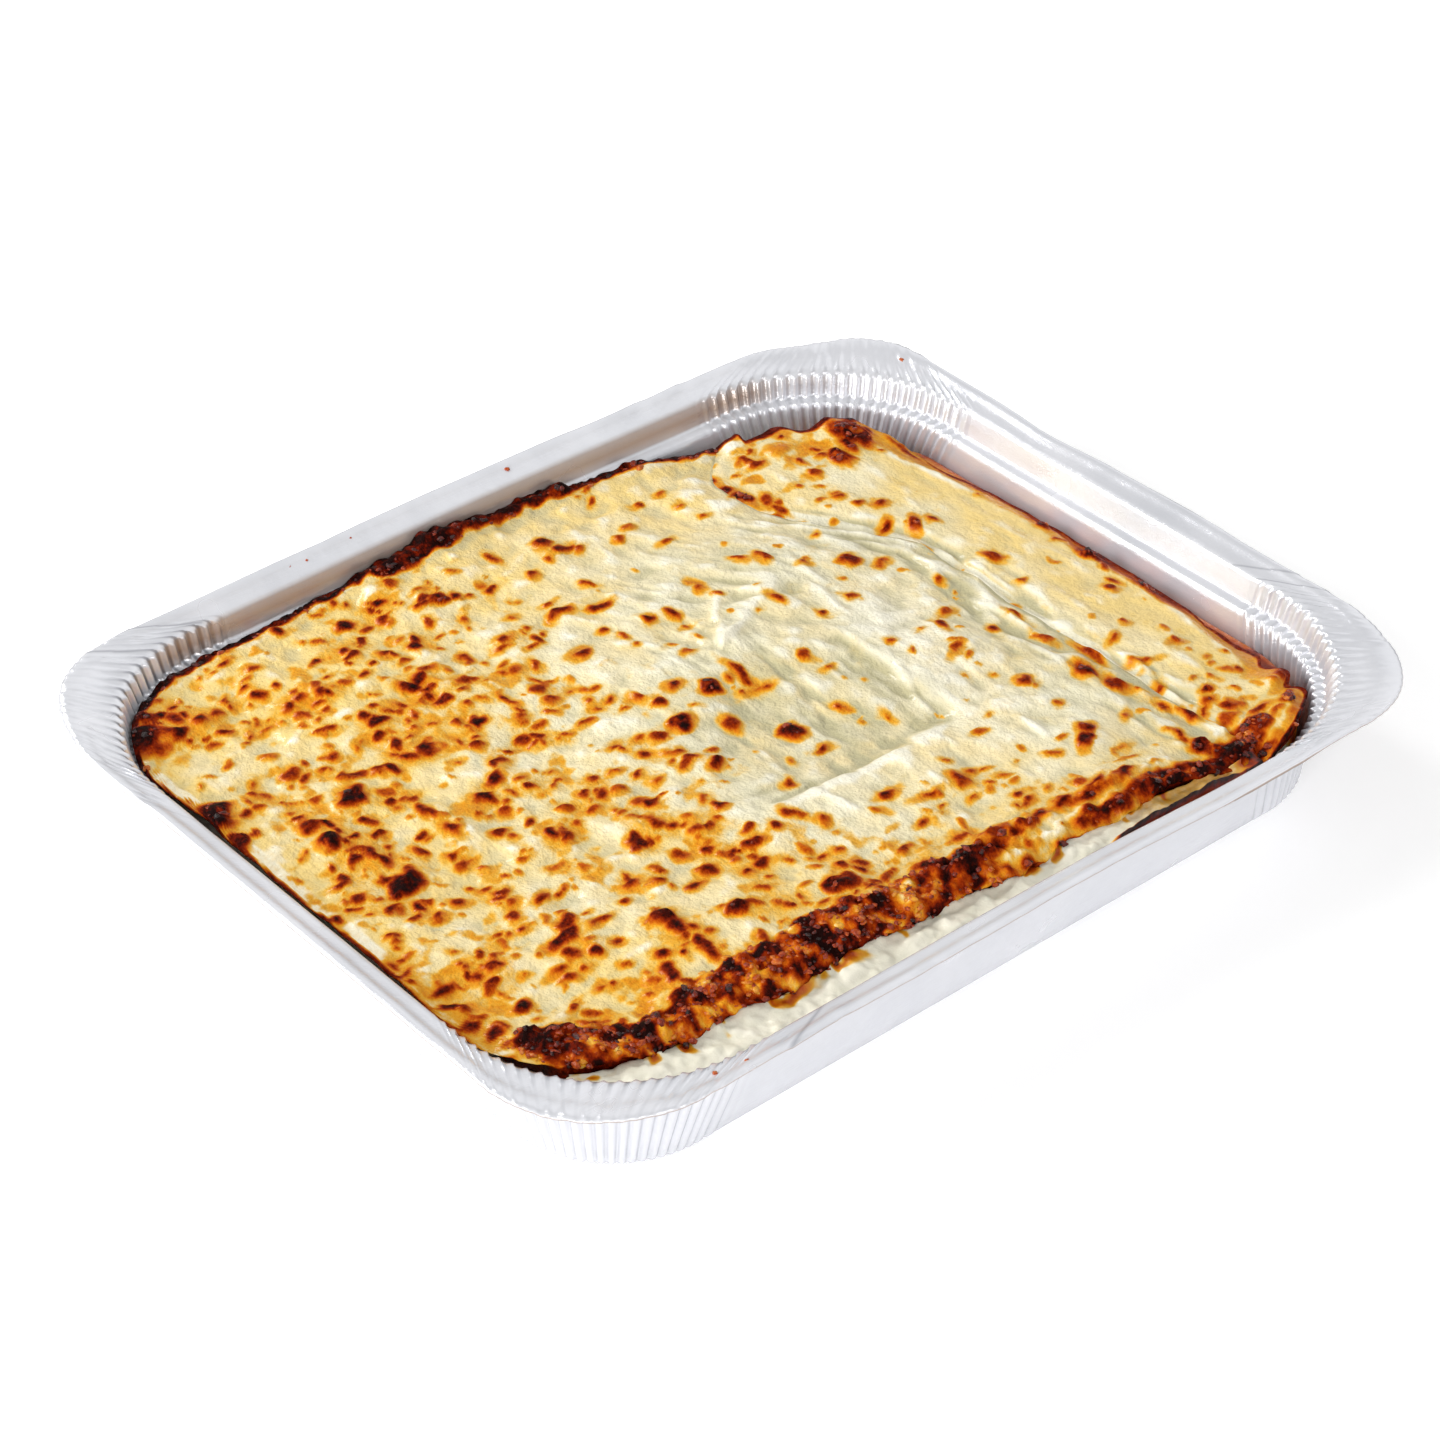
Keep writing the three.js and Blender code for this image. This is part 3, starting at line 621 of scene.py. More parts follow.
# ---------------------------------------------------------------------------- main top sheet
# The large pasta sheet under cheese sauce, baked hot: the sauce blisters and browns where it stands
# proud, burns along the cut front edge and the back wall, and stays pale and wrinkled where it sank.

FOOD_BACK = 118.4
FOOD_CORNER = 48
MAIN_HEIGHT = 30.4
MAIN_LEVELS = [(29.95, 3.8), (22.0, 7.8)]
LAP = 2.0
MAIN_COLUMNS, MAIN_ROWS = 301, 281
SMALL_BLISTERS = 760


def back_edge(x):
    """The back edge lies on the ledge, bowed like the wall, and rounds the left corner."""
    centre = FOOD_LEFT + FOOD_CORNER
    corner = np.sqrt(np.maximum(0, FOOD_CORNER**2 - np.minimum(0, x - centre) ** 2))
    bow = 1.6 * mound(x, 0, -5, 0, 62, 1)
    crag = 1.2 * ease(-24, -19, x) * ease(37, 32, x)
    bank = ease(-75, -50, x) - 1.2 * ease(36, 50, x) - 1.8 * mound(x, 0, -98, 0, 22, 1)
    return FOOD_BACK - FOOD_CORNER + corner + bow + bank + crag - 7.5 * ease(54, 96, x)


def seam(y):
    """Where the side sheet laps over the main one."""
    return SEAM_X - 28 * ease(24, 84, y) + 17 * ease(90, 114, y)


def swell(x, y):
    """Slow waves of the sheets over the uneven filling."""
    wave = 0.7 * np.sin(x / 31 + 0.6) * np.cos(y / 27 - 0.4)
    return wave + 0.35 * np.sin((x + 1.4 * y) / 17)


# Large blisters: place, radius and rise.
BIG_BLISTERS = [
    (-119, -7, 9, 1.3), (-127, 20, 8, 1.2), (-109, 34, 8, 1.3), (-146, 50, 8, 1.1), (-139, 92, 7, 2.2),
    (-122, 90, 7, 0.9), (-97, 12, 8, 1.0), (-89, 77, 8, 0.9), (-100, -34, 10, 1.0),
    (-105, -52, 10, 1.0), (-80, -63, 7, 1.0), (-61, -74, 7, 0.9), (-34, -54, 9, 0.9),
    (-31, -83, 7, 1.1), (-34, 93, 9, 1.0), (9, 97, 7, 1.0), (-6, 13, 9, 1.1), (-18, 2, 10, 1.1),
    (-24, -17, 7, 0.9), (-6, 66, 9, 0.9), (66, 82, 7, 1.0), (68, -77, 8, 1.2),
]
# Folds beside the sunken patch, and the burnt lump in the left front corner: place, half length,
# half width, turn in degrees and rise.
FOLDS = [
    (8, -51, 42, 6, 0, 0.8),
    (52, -28, 6, 22, 0, 0.7),
    (36, 34, 30, 6, 28, 0.8),
    (22, 44, 26, 5, 48, -0.9),
    (-131, -82, 11, 8, -20, 1.2),
]


def main_top(x, y):
    z = MAIN_HEIGHT + swell(x, y)
    for at_x, at_y, radius, rise in BIG_BLISTERS:
        z += rise * mound(x, y, at_x, at_y, radius)
    for at_x, at_y, wide, deep, turn, rise in FOLDS:
        z += rise * mound(x, y, at_x, at_y, wide, deep, turn)
    # Banked up against the left wall and along the back, with burnt lumps that climb the wall.
    z += 1.3 * ease(-112, -146, x) + 0.7 * ease(92, 116, y) * ease(70, 30, x)
    z += 2.3 * ease(-24, -19, x) * ease(37, 32, x) * ease(114, 119, y)
    z += 2.0 * ease(-50, -38, x) * ease(-4, -14, x) * ease(112, 119, y)
    # A sunken patch in the middle, steep at its right and front borders.
    z -= 2.4 * ease(-38, 6, x) * ease(49, 42, x) * ease(-48.5, -41, y) * ease(26, -12, y)
    # The fall to the seam, less deep in the back right corner.
    z -= 2.4 * ease(56, 92, x) - 0.5 * ease(58, 96, x) * ease(64, 112, y)
    z -= 0.8 * ease(8, 1, seam(y) - x)
    # The burnt crest along the front edge, which droops at the cut.
    crest = -94.5 - 0.012 * (x + 100) - 4 * ease(40, 70, x)
    z += 2.0 * np.exp(-(((y - crest) / 8) ** 2)) * ease(96, 60, x) * (1 + 0.25 * np.sin(x / 7))
    z -= 1.6 * ease(4, 0, y - front_edge(x)) * ease(-146, -130, x)
    return z


# Scorched blisters: place, length, width, how far they burnt, and any turn in degrees.
SCORCHES = [
    # left edge and left back corner
    (-139, 92, 13, 14, 1.0), (-133, 100, 10, 6, 0.9, 30), (-122, 90, 5, 4, 0.85),
    (-110, 94, 5, 3, 0.75, 60), (-96, 90, 4, 3.5, 0.8), (-124, 79, 4, 3, 0.7),
    (-110, 81, 5, 3, 0.75, 40), (-114, 77, 5, 3, 0.75, 60), (-117, 74, 4, 3, 0.6),
    (-88, 78, 5, 4, 0.85), (-91, 71, 5, 3, 0.75, 70), (-82, 84, 4, 3, 0.7), (-94, 84, 3, 3, 0.7),
    (-73, 77, 6, 3, 0.8, 10), (-104, 76, 3, 3, 0.6), (-128, 68, 4, 3, 0.6), (-116, 64, 7, 5, 0.55),
    (-97, 64, 7, 3, 0.8, -20), (-79, 63, 4, 3, 0.75), (-73, 60, 6, 3, 0.8, -60),
    (-73, 54, 6, 3, 0.8, 70), (-77, 50, 4, 3, 0.7), (-62, 83, 7, 5, 0.8), (-65, 90, 3, 3, 0.7),
    (-144, 49, 11, 13, 1.0), (-146, 36, 6, 11, 0.95), (-133, 50, 3, 6, 0.75), (-116, 55, 7, 6, 0.8),
    (-108, 51, 4, 3, 0.7), (-110, 57, 3, 3, 0.65), (-85, 46, 4, 8, 0.85), (-125, 43, 4, 3, 0.7),
    (-117, 41, 4, 3, 0.7), (-105, 42, 4, 3, 0.75), (-109, 34, 10, 11, 1.0), (-97, 40, 5, 7, 0.85, 20),
    (-71, 37, 3, 6, 0.75), (-67, 31, 4, 3, 0.7), (-66, 44, 3, 3, 0.7), (-61, 43, 3, 3, 0.6),
    (-127, 30, 6, 9, 0.85), (-128, 20, 9, 7, 1.0), (-123, 12, 3, 10, 0.75, 5), (-122, 8, 4, 6, 0.85),
    (-124, -1, 3, 5, 0.75), (-136, 4, 7, 3, 0.8, -10), (-121, -6, 13, 8, 1.0, 10),
    (-113, 16, 3, 6, 0.8), (-115, 10, 3, 4, 0.7), (-97.5, 15, 4, 11, 0.85), (-97.5, 5, 4, 9, 0.85, 10),
    (-78, 6, 3, 3, 0.7), (-87, 6, 3, 3, 0.7), (-68, 12, 4, 3, 0.7), (-88, -4, 6, 5, 0.8),
    (-68, -6, 4, 4, 0.75), (-121, -16, 3, 3, 0.7), (-130, -15, 4, 3, 0.7), (-108, -18, 4, 3, 0.7),
    (-139, -26, 4, 4, 0.75), (-123, -24, 6, 4, 0.8), (-102, -25, 4, 3, 0.7), (-75, -19, 4, 3.5, 0.75),
    (-104, -31, 6, 4, 0.8, 30), (-107, -36, 6, 4, 0.8, 60), (-97, -34, 5, 4, 0.8),
    (-93, -37, 5, 3, 0.7), (-114, -42, 4, 3, 0.7), (-131, -46, 5, 3, 0.75), (-126, -44, 4, 3, 0.7),
    (-105, -53, 12, 6, 0.9), (-99, -48, 8, 6, 0.85, 30), (-92, -54, 8, 3, 0.8), (-81, -51, 4, 3, 0.75),
    (-70, -50, 6, 4, 0.8), (-68, -54, 3, 3, 0.7), (-57, -53, 4, 3, 0.7), (-140, -57, 5, 4, 0.75),
    (-139, -62, 4, 4, 0.7), (-113, -62, 8, 3, 0.75), (-128, -66, 6, 5, 1.0), (-79, -64, 8, 6, 0.9),
    (-76, -72, 4, 6, 0.8), (-61, -74, 8, 6, 0.95), (-98, -71, 4, 3, 0.7), (-109, -74, 4, 3, 0.7),
    (-84, -79, 4, 3.5, 0.95), (-137, -69, 4, 4, 0.7), (-66, -44, 4, 3, 0.65),
    # back middle
    (-64, 102, 4, 3, 0.7), (-58, 98, 4, 3, 0.7), (-35, 102, 5, 3, 0.75), (-40, 95, 5, 4, 0.9),
    (-34, 94, 8, 6, 0.95, -10), (-28, 93, 5, 5, 0.9), (-21, 103, 4, 3, 0.65), (-7, 102, 3, 7, 0.75),
    (-17, 90, 5, 4, 0.8), (-4, 87, 5, 4, 0.8), (9, 98, 6, 7, 0.9), (12, 92, 7, 5, 0.85),
    (15, 89, 3, 3, 0.7), (6, 91, 3, 3, 0.75), (29, 86, 4, 4, 0.75), (35, 89, 5, 5, 0.6),
    (36, 109, 2.5, 6, 0.7, -20), (-54, 86, 4, 3, 0.6), (-60, 76, 6, 3, 0.75, 10), (-57, 68, 6, 4, 0.8),
    (-45, 67, 4, 6, 0.85), (-33, 63.5, 7, 3, 0.8), (-23, 61, 4, 5, 0.85), (-9, 73, 5, 3, 0.75),
    (6, 73, 6, 3, 0.7, -40), (-10, 67, 9, 5, 0.85), (2, 62, 10, 4, 0.85, -15), (-49, 57, 5, 3, 0.75),
    (-55, 54, 4, 3, 0.7), (-41, 54, 4, 3, 0.75), (-58, 48, 4, 4, 0.7), (-48, 43, 2.5, 14, 0.75, 5),
    (-31, 52, 3, 6, 0.75), (-36, 44, 3, 9, 0.8, 10), (-18, 47, 9, 5, 0.85, 20), (-5, 52, 3, 3, 0.7),
    (-3, 46, 3, 4, 0.7), (-3, 40, 3, 3, 0.65), (9, 48, 4, 5, 0.9), (16, 45, 4, 6, 0.85),
    (16, 38, 4, 3, 0.7), (31, 52, 4, 7, 0.75), (33, 45, 3, 3, 0.65),
    # middle
    (-38, 35, 6, 5, 0.75), (-31, 35, 4, 3, 0.7), (-26, 31, 4, 3, 0.7), (-48, 28, 4, 3, 0.7),
    (-54, 23, 4, 3, 0.7), (-25, 24, 4, 3, 0.7), (6, 27, 4, 3, 0.65), (40, 76, 6, 3, 0.65, 20),
    (44, 30, 3, 6, 0.75), (-20, 19, 4, 5, 0.75), (-17, 13, 4, 5, 0.8, 20), (-8, 16, 7, 5, 0.95),
    (-1, 9, 7, 7, 1.0), (11, 9, 3, 13, 0.85), (12, 1, 8, 3, 0.75), (6, 2, 4, 3, 0.7),
    (-18, 2, 9, 7, 1.0), (-26, 1, 7, 4, 0.8), (-38, 6, 5, 3, 0.7), (-31, 4, 6, 3, 0.75),
    (-27, -8, 4, 4, 0.7), (-25, -13, 4, 4, 0.75), (-22, -19, 7, 6, 0.9), (-18, -13, 4, 3, 0.7),
    (-5, -6, 5, 8, 0.75), (6, -20, 7, 8, 0.95), (8, -31, 7, 4, 0.8), (-4, -30, 4, 5, 0.5),
    (24, -20, 3.5, 5, 0.9, 30), (32, -32, 2.5, 4, 0.75), (31, 3, 4, 5, 0.7), (33, -5, 4, 3, 0.7),
    (50, 17, 3.5, 5, 0.8), (54, -8, 3, 3, 0.65), (-46, -3, 5, 4, 0.7), (-50, -11, 5, 5, 0.65),
    (-40, -14, 5, 4, 0.7), (-49, -18, 6, 4, 0.65),
    # front half, above the burnt band
    (-43, -40, 3, 3, 0.7), (5, -61, 8, 5, 0.85), (13, -68, 9, 3, 0.75), (25, -69, 7, 8, 0.85),
    (31, -68, 4, 4, 0.75), (23, -77, 4, 3, 0.75), (30, -76, 4, 3, 0.75), (4, -76, 5, 3, 0.95),
    (-22, -52, 3.5, 8, 0.8, 20), (-38, -54, 8, 5, 0.9), (-29, -53, 4, 5, 0.85), (-28, -70, 5, 4, 0.75),
    (-33, -83, 9, 8, 0.95), (-24, -81, 4, 4, 0.8), (-26, -88, 5, 4, 0.8), (-19, -88, 4, 4, 0.75),
    (-38, -91, 8, 5, 0.85), (-8, -82, 5, 4, 0.75), (32, -84, 5, 3, 0.8), (68, -75, 8, 5, 0.95, 30),
    (63, -80, 8, 5, 0.95, 40), (72, -46, 6, 5, 0.8), (75, 33, 8, 6, 0.85), (82, 26, 6, 4, 0.8),
    (62, 18, 4, 5, 0.75), (63, 39, 4, 3, 0.7), (54, 49, 5, 7, 0.75), (90, 9, 3.5, 5, 0.75),
    (73, -10, 4, 7, 0.75), (67, -22, 9, 3, 0.7, 40), (85, -19, 4, 4, 0.75), (89, -54, 7, 8, 0.9),
    (91, -64, 4, 7, 0.8), (55, 98, 4, 4, 0.7), (55, 89, 4, 3, 0.7), (46, 98, 4, 3, 0.7),
    (57, 80, 4, 3, 0.7),
    # reddish streaks down the wrinkled strip beside the side sheet
    (90, -53, 6, 9, 0.78), (92.5, -63, 4, 10, 0.8, 8), (98, -46, 3.5, 13, 0.78, -6),
    (93, -33, 2.5, 9, 0.65, 4), (96, -78, 3, 7, 0.8, 5), (95, -18, 2.5, 8, 0.7, 4),
    (88, -92, 3, 8, 0.9), (89, -101, 5, 8, 0.95),
    # chains and blobs of the burnt band's right half
    (-132, -82, 15, 10, 1.0, -20), (-130, -92, 9, 4, 0.9, -40), (-1, -99, 22, 11, 1.0),
    (12, -94, 14, 8, 0.7), (24, -97, 8, 4, 0.9), (38, -96, 9, 4, 0.9, 10), (50, -96, 8, 4, 0.9),
    (60, -98.5, 9, 4, 0.9), (14, -108, 10, 4, 0.9), (29, -109, 12, 4, 0.95),
    (47, -106, 18, 6, 0.95, -6), (66, -108, 22, 7, 1.0, -6), (84, -109, 18, 8, 1.0, -8),
    (96, -108, 14, 10, 0.95), (98, -86, 4, 9, 0.9), (70, -88, 10, 3, 0.55, 10),
    (66, -92, 12, 3, 0.5, -10),
]

# Creases: from, to, half width, and rise, which is below nought for a valley.
CREASES = [
    (-22, -44, 22, -45, 1.4, -0.9), (-8, -40, -34, -34, 2.0, -0.6), (47, -18, 41, -40, 1.3, 1.1),
    (20, -8, 18, -20, 1.8, -0.8), (18, -20, 14, -32, 1.8, -0.7), (-10, -46, -7, -61, 1.8, 0.7),
    (13, 21, 26, 27, 1.6, 0.8), (60, 28, 60, 46, 1.6, 0.7), (15, 58, 32, 44, 2.0, -0.7),
    (24, 62, 46, 40, 2.0, -0.6), (36, 60, 58, 42, 2.0, 0.5), (30, 40, 52, 30, 1.8, -0.6),
    (58, -58, 57, -70, 1.3, 0.9), (40, 20, 52, 6, 2.0, -0.5), (30, 14, 44, -4, 2.2, 0.5),
    (-32, 22, -14, 30, 2.0, -0.5), (-52, 10, -34, 18, 2.2, 0.4), (62, 8, 78, 2, 2.2, -0.4),
    (52, -44, 70, -50, 2.0, -0.4), (2, 30, 20, 36, 1.6, 0.5), (14, 21, 6, 40, 1.5, -0.6),
    (14, 21, 18, 44, 1.5, -0.6), (15, 22, 33, 45, 1.5, 0.6), (15, 22, 42, 35, 1.7, 0.5),
    (52, 40, 50, 12, 1.6, -0.5), (57, 36, 55, 8, 1.6, 0.4), (21, 14, 22, -20, 1.5, -0.7),
    (13, -14, 14, -28, 1.4, -0.5), (70, 20, 76, -30, 2.2, -0.3), (-60, -20, -52, -44, 2.0, 0.5),
    (-70, 20, -62, -8, 2.2, 0.4),
]
CREASE_DEPTH = 1.15


def crease_relief(x, y):
    z = np.zeros_like(x)
    bent_x = x + 1.2 * lumps(x, y, 8, 41)
    bent_y = y + 1.2 * lumps(x, y, 8, 42)
    for from_x, from_y, to_x, to_y, half, rise in CREASES:
        run_x, run_y = to_x - from_x, to_y - from_y
        length = math.hypot(run_x, run_y)
        along = ((bent_x - from_x) * run_x + (bent_y - from_y) * run_y) / length
        off = ((bent_y - from_y) * run_x - (bent_x - from_x) * run_y) / length
        ends = ease(-3, 3, along) * ease(length + 3, length - 3, along)
        z += CREASE_DEPTH * rise * ends * np.exp(-((off / half) ** 2))
    return z


def spot_fields(x, y, spots, deepest_glow):
    """How far each point browned and how far it swelled, from a list of blisters: darkest at each
    one's heart, then brown, amber and gold outwards. Between them the gold has a deepest level."""
    wander_x = x + relief(x, y, (1.2, 4.1, 51), (0.5, 2.4, 52))
    wander_y = y + relief(x, y, (1.2, 4.1, 53), (0.5, 2.4, 54))
    grain = 0.34 * lumps(x, y, 2.8, 58)
    coarse = 0.34 * lumps(x, y, 5.2, 49)
    burnt, soft, risen = (np.zeros_like(x) for field in range(3))
    for at_x, at_y, length, width, burn, *turned in spots:
        turn = math.radians(turned[0]) if turned else 0
        thin = min(length, width)
        reach = max(length, width) / 2 + 9
        near = (np.abs(x - at_x) < reach) & (np.abs(y - at_y) < reach)
        c, s = math.cos(turn), math.sin(turn)
        dx, dy = wander_x[near] - at_x, wander_y[near] - at_y
        round_off = np.hypot((dx * c + dy * s) / (length / 2), (dy * c - dx * s) / (width / 2))
        outside = (round_off - 1) * thin / 2
        off = round_off + grain[near] * min(1, 4 / thin) + coarse[near] * ease(4, 9, thin)
        flat_heart = ease(3, 9, thin) * 0.3
        heart = burn * ease(1.55, 0.12 + flat_heart, off)
        halo = 0.33 * ease(2.9, -0.8, outside) * ease(0.2, 0.8, burn) * (1 + grain[near])
        burnt[near] = np.maximum(burnt[near], np.maximum(heart, halo))
        soft[near] += ease(5.5, 0.0, outside) * burn
        lift = min(1.1, 0.17 * thin)
        risen[near] = np.maximum(risen[near], lift * ease(1.35, 0.2, off))
    # Where the warm borders of several blisters meet, they join in an amber web.
    web = (0.19 + 0.5 * grain) * ease(1.0, 2.9, soft * (1 + coarse))
    glow = np.minimum(0.11 * soft, deepest_glow)
    return np.maximum(burnt, np.maximum(glow, web)), risen


def scatter_spots(seed, count, low_x, high_x, low_y, high_y, share):
    """Small blisters scattered at random, more and larger ones where share is high."""
    random = np.random.default_rng(seed)
    spots = []
    while len(spots) < count:
        x, y = random.uniform(low_x, high_x), random.uniform(low_y, high_y)
        crowded = share(x, y)
        kept = random.uniform() < crowded
        size = (1.8 + 1.6 * random.uniform() + 2.6 * random.uniform() ** 3) * (0.72 + 0.33 * crowded)
        longer = random.uniform(1.0, 1.8)
        turn = -20 + 110 * (random.uniform() + random.uniform() - 1)
        burn = min(0.95, 0.12 + 0.15 * size + random.uniform(-0.1, 0.34)) * (0.78 + 0.22 * crowded)
        if kept:
            spots.append((x, y, size * longer, size, burn, turn))
    return spots


def heat(x, y):
    """Where the grill bit harder: uneven patches, above nought where it did."""
    return relief(x, y, (0.6, 19, 55), (0.4, 9, 56))


def amber(x, y):
    """The mottled gold between the blisters of a patch that took more heat."""
    mottled = relief(x, y, (0.65, 5.3, 57), (0.5, 2.9, 59), (0.16, 1.6, 60))
    return ease(-0.1, 0.85, mottled + 0.5 * heat(x, y))


def main_share(x, y):
    """How crowded the small blisters are: dense on the left and in front, sparse on the right."""
    left = 0.14 + 0.86 * ease(0, -50, x)
    front = 0.95 * ease(-48, -78, y) * ease(80, 20, x)
    sunk = 1 - 0.7 * mound(x, y, 12, -38, 36, 14)
    patchy = 0.45 + 0.55 * ease(-0.35, 0.35, heat(np.array(x), np.array(y)))
    return np.maximum(left, front) * sunk * patchy


def gold_share(x, y):
    """How much of the gold wash there is."""
    left = 0.34 + 0.66 * ease(15, -60, x)
    front = 1.1 * ease(-48, -82, y) * ease(80, 20, x)
    return np.maximum(left, front) * (1 - 0.6 * mound(x, y, 14, -30, 34, 22))


def crumbs(x, y):
    """The crumbly relief of burnt sauce."""
    return relief(x, y, (0.6, 2.9, 61), (0.5, 1.7, 62)) + 0.8 * np.abs(lumps(x, y, 4.6, 63)) - 0.1


def stands_proud(z, reach):
    """How far each point stands above the mean of its surroundings, a few grid steps around."""
    steps = range(-reach, reach + 1, reach // 2)
    around = [np.roll(z, (row, column), (0, 1)) for row in steps for column in steps]
    return z - sum(around) / len(around)


# How wide the burnt band is at places along the front edge.
BAND_AT = [-140, -125, -112, -100, -75, -55, -38, 0, 8, 30, 60, 100]
BAND_WIDTH = [22, 18, 13, 14, 18, 18, 14, 15, 17, 16, 14, 15]


def band_strength(x, y):
    """The burnt band above the front cut edge."""
    inside = y - front_edge(x)
    width = np.interp(x, BAND_AT, BAND_WIDTH) + 1.6 * lumps(x, y, 5, 71)
    return ease(width, width - 2.0, inside) * ease(-72, -78, y) * ease(-142, -137, x + 0.3 * (y + 85))


def band_browning(x, y):
    """Dark crumbs on the left, two dark chains with lighter crust between them on the right."""
    inside = y - front_edge(x) + 1.2 * lumps(x, y, 6, 78)
    mixed = relief(x, y, (0.34, 3.6, 75), (0.3, 1.9, 76))
    whole = 0.7 + 1.2 * mixed
    far_chain = np.exp(-(((inside - 11.5) / 2.3) ** 2)) * ease(68, 58, x)
    near_at = 3.0 + 2.4 * ease(44, 56, x) * ease(86, 78, x)
    near_width = 2.3 + 1.6 * ease(76, 86, x)
    near_chain = np.exp(-(((inside - near_at) / near_width) ** 2)) * ease(30, 38, x)
    patchy = 0.6 + 0.4 * ease(-0.5, 0.2, lumps(x, y, 6, 79))
    chained = np.maximum(far_chain, near_chain)
    chains = 0.08 + 0.76 * patchy * chained + (0.2 + 0.3 * chained) * mixed
    right = ease(2, 14, x)
    return whole * (1 - right) + chains * right


grid_u, grid_v = np.meshgrid(np.linspace(0, 1, MAIN_COLUMNS), np.linspace(0, 1, MAIN_ROWS))
plain_x = FOOD_LEFT + (SEAM_X - FOOD_LEFT) * grid_u
main_y = front_edge(plain_x) + (back_edge(plain_x) - front_edge(plain_x)) * grid_v
main_x = FOOD_LEFT + (seam(main_y) + LAP - FOOD_LEFT) * grid_u
main_y = main_y + 0.5 * lumps(main_x, main_y, 2.2, 81) * ease(0.05, 0.0, grid_v)

small_spots = scatter_spots(11, SMALL_BLISTERS, -148, 100, -104, 116, main_share)
main_gold = gold_share(main_x, main_y)
main_glow = 0.12 + 0.11 * main_gold + 0.05 * lumps(main_x, main_y, 6, 64)
scorched, swollen = spot_fields(main_x, main_y, SCORCHES, main_glow)
speckled, pimpled = spot_fields(main_x, main_y, small_spots, main_glow)
band = band_strength(main_x, main_y)
from_back = back_edge(plain_x) - main_y
rim_width = 3.3 + 1.0 * lumps(main_x, main_y, 4, 72)
rim_width += 2.0 * ease(-46, -36, main_x) * (1 + ease(-4, -12, main_x)) * ease(40, 30, main_x)
back_rim = ease(rim_width + 1.6, rim_width - 0.8, from_back)
back_tan = ease(22, 2, from_back + 2.5 * lumps(main_x, main_y, 7, 73))
from_left = main_x - FOOD_LEFT
left_rim = ease(1.6, 0.4, from_left + 0.6 * lumps(main_x, main_y, 5, 74)) * ease(-90, -50, main_y)
left_tan = ease(16, 3, from_left + 3 * lumps(main_x, main_y, 8, 67))
# Painted highlights lighten patches of the char.
painted_char_highlights = ease(0.8, 1.0, scorched) * ease(0.1, 0.6, lumps(main_x, main_y, 2.3, 68))
main_brown = np.maximum.reduce([
    scorched - 0.24 * painted_char_highlights,
    speckled,
    band * band_browning(main_x, main_y),
    0.34 * amber(main_x, main_y) * main_gold,
    back_rim * (0.95 + 0.2 * lumps(main_x, main_y, 2.6, 77)),
    0.8 * left_rim,
    0.13 * back_tan,
    0.13 * left_tan,
])


def streaks(x, y):
    """Fine wrinkles that run along the seam."""
    before = seam(y) - x
    return 0.65 * lumps(before, 0.26 * y, 2.1, 85) + 0.5 * lumps(before, 0.4 * y, 3.7, 86)


def seam_strip(x, y):
    """The strip beside the seam where thin sauce wrinkled most."""
    before = seam(y) - x + 2.5 * lumps(x, y, 9, 88)
    return ease(20, 12, before) * ease(-10, -3, before) * ease(-114, -96, y) * ease(84, 50, y)


def main_skin(x, y):
    """The main sheet's top with its creases and lumps, still without the scorched blisters."""
    z = main_top(x, y) + crease_relief(x, y)
    z += relief(x, y, (0.85, 13, 82), (0.5, 6, 83), (0.16, 2.4, 84))
    return z + 1.3 * streaks(x, y) * seam_strip(x, y)


wrinkled = seam_strip(main_x, main_y)
main_streaks = streaks(main_x, main_y)
calm = ease(-50, 10, main_x) * ease(-100, -80, main_y) * ease(110, 80, main_y)
rough_band = band * (1 - 0.45 * ease(10, 40, main_x))
crumbly = 1.35 * np.maximum(rough_band, 0.7 * back_rim) + 0.8 * ease(0.7, 0.95, scorched)
main_z = main_skin(main_x, main_y) + swollen + 0.9 * pimpled
main_z += 0.4 * main_streaks * calm * (1 - wrinkled)
main_z += 0.34 * lumps(main_x, main_y, 3.3, 87) * (1 - calm)
main_z += crumbly * crumbs(main_x, main_y)
main_z -= 0.7 * ease(-1.5, 0.5, main_x - seam(main_y)) + 0.9 * ease(4, 0, from_back)


def main_lean(x, y):
    """Draws in fully from the walls, and about half as much at the seam and the cut edge."""
    way_x, way_y = inward(x, y)
    on_wall = np.where((grid_u == 0) | (grid_v == 1), 1.0, ease(-134, -144, x))
    lean_x = np.where(on_wall > 0, on_wall * way_x, np.where(grid_u == 1, -0.45, 0.0))
    lean_y = np.where(on_wall > 0, on_wall * way_y, np.where(grid_u == 1, 0.0, 0.45))
    return lean_x, lean_y


main_sheet = grid_slab("main_top_sheet", main_x, main_y, main_z, MAIN_LEVELS, main_lean)

main_butter = 0.25 + relief(main_x, main_y, (0.35, 16, 101), (0.25, 6, 105))
main_butter += 0.4 * ease(-10, -100, main_x) + 0.35 * ease(-60, -95, main_y)
main_butter += 0.6 * back_tan + 0.5 * ease(45, 95, main_y) + 0.5 * left_tan

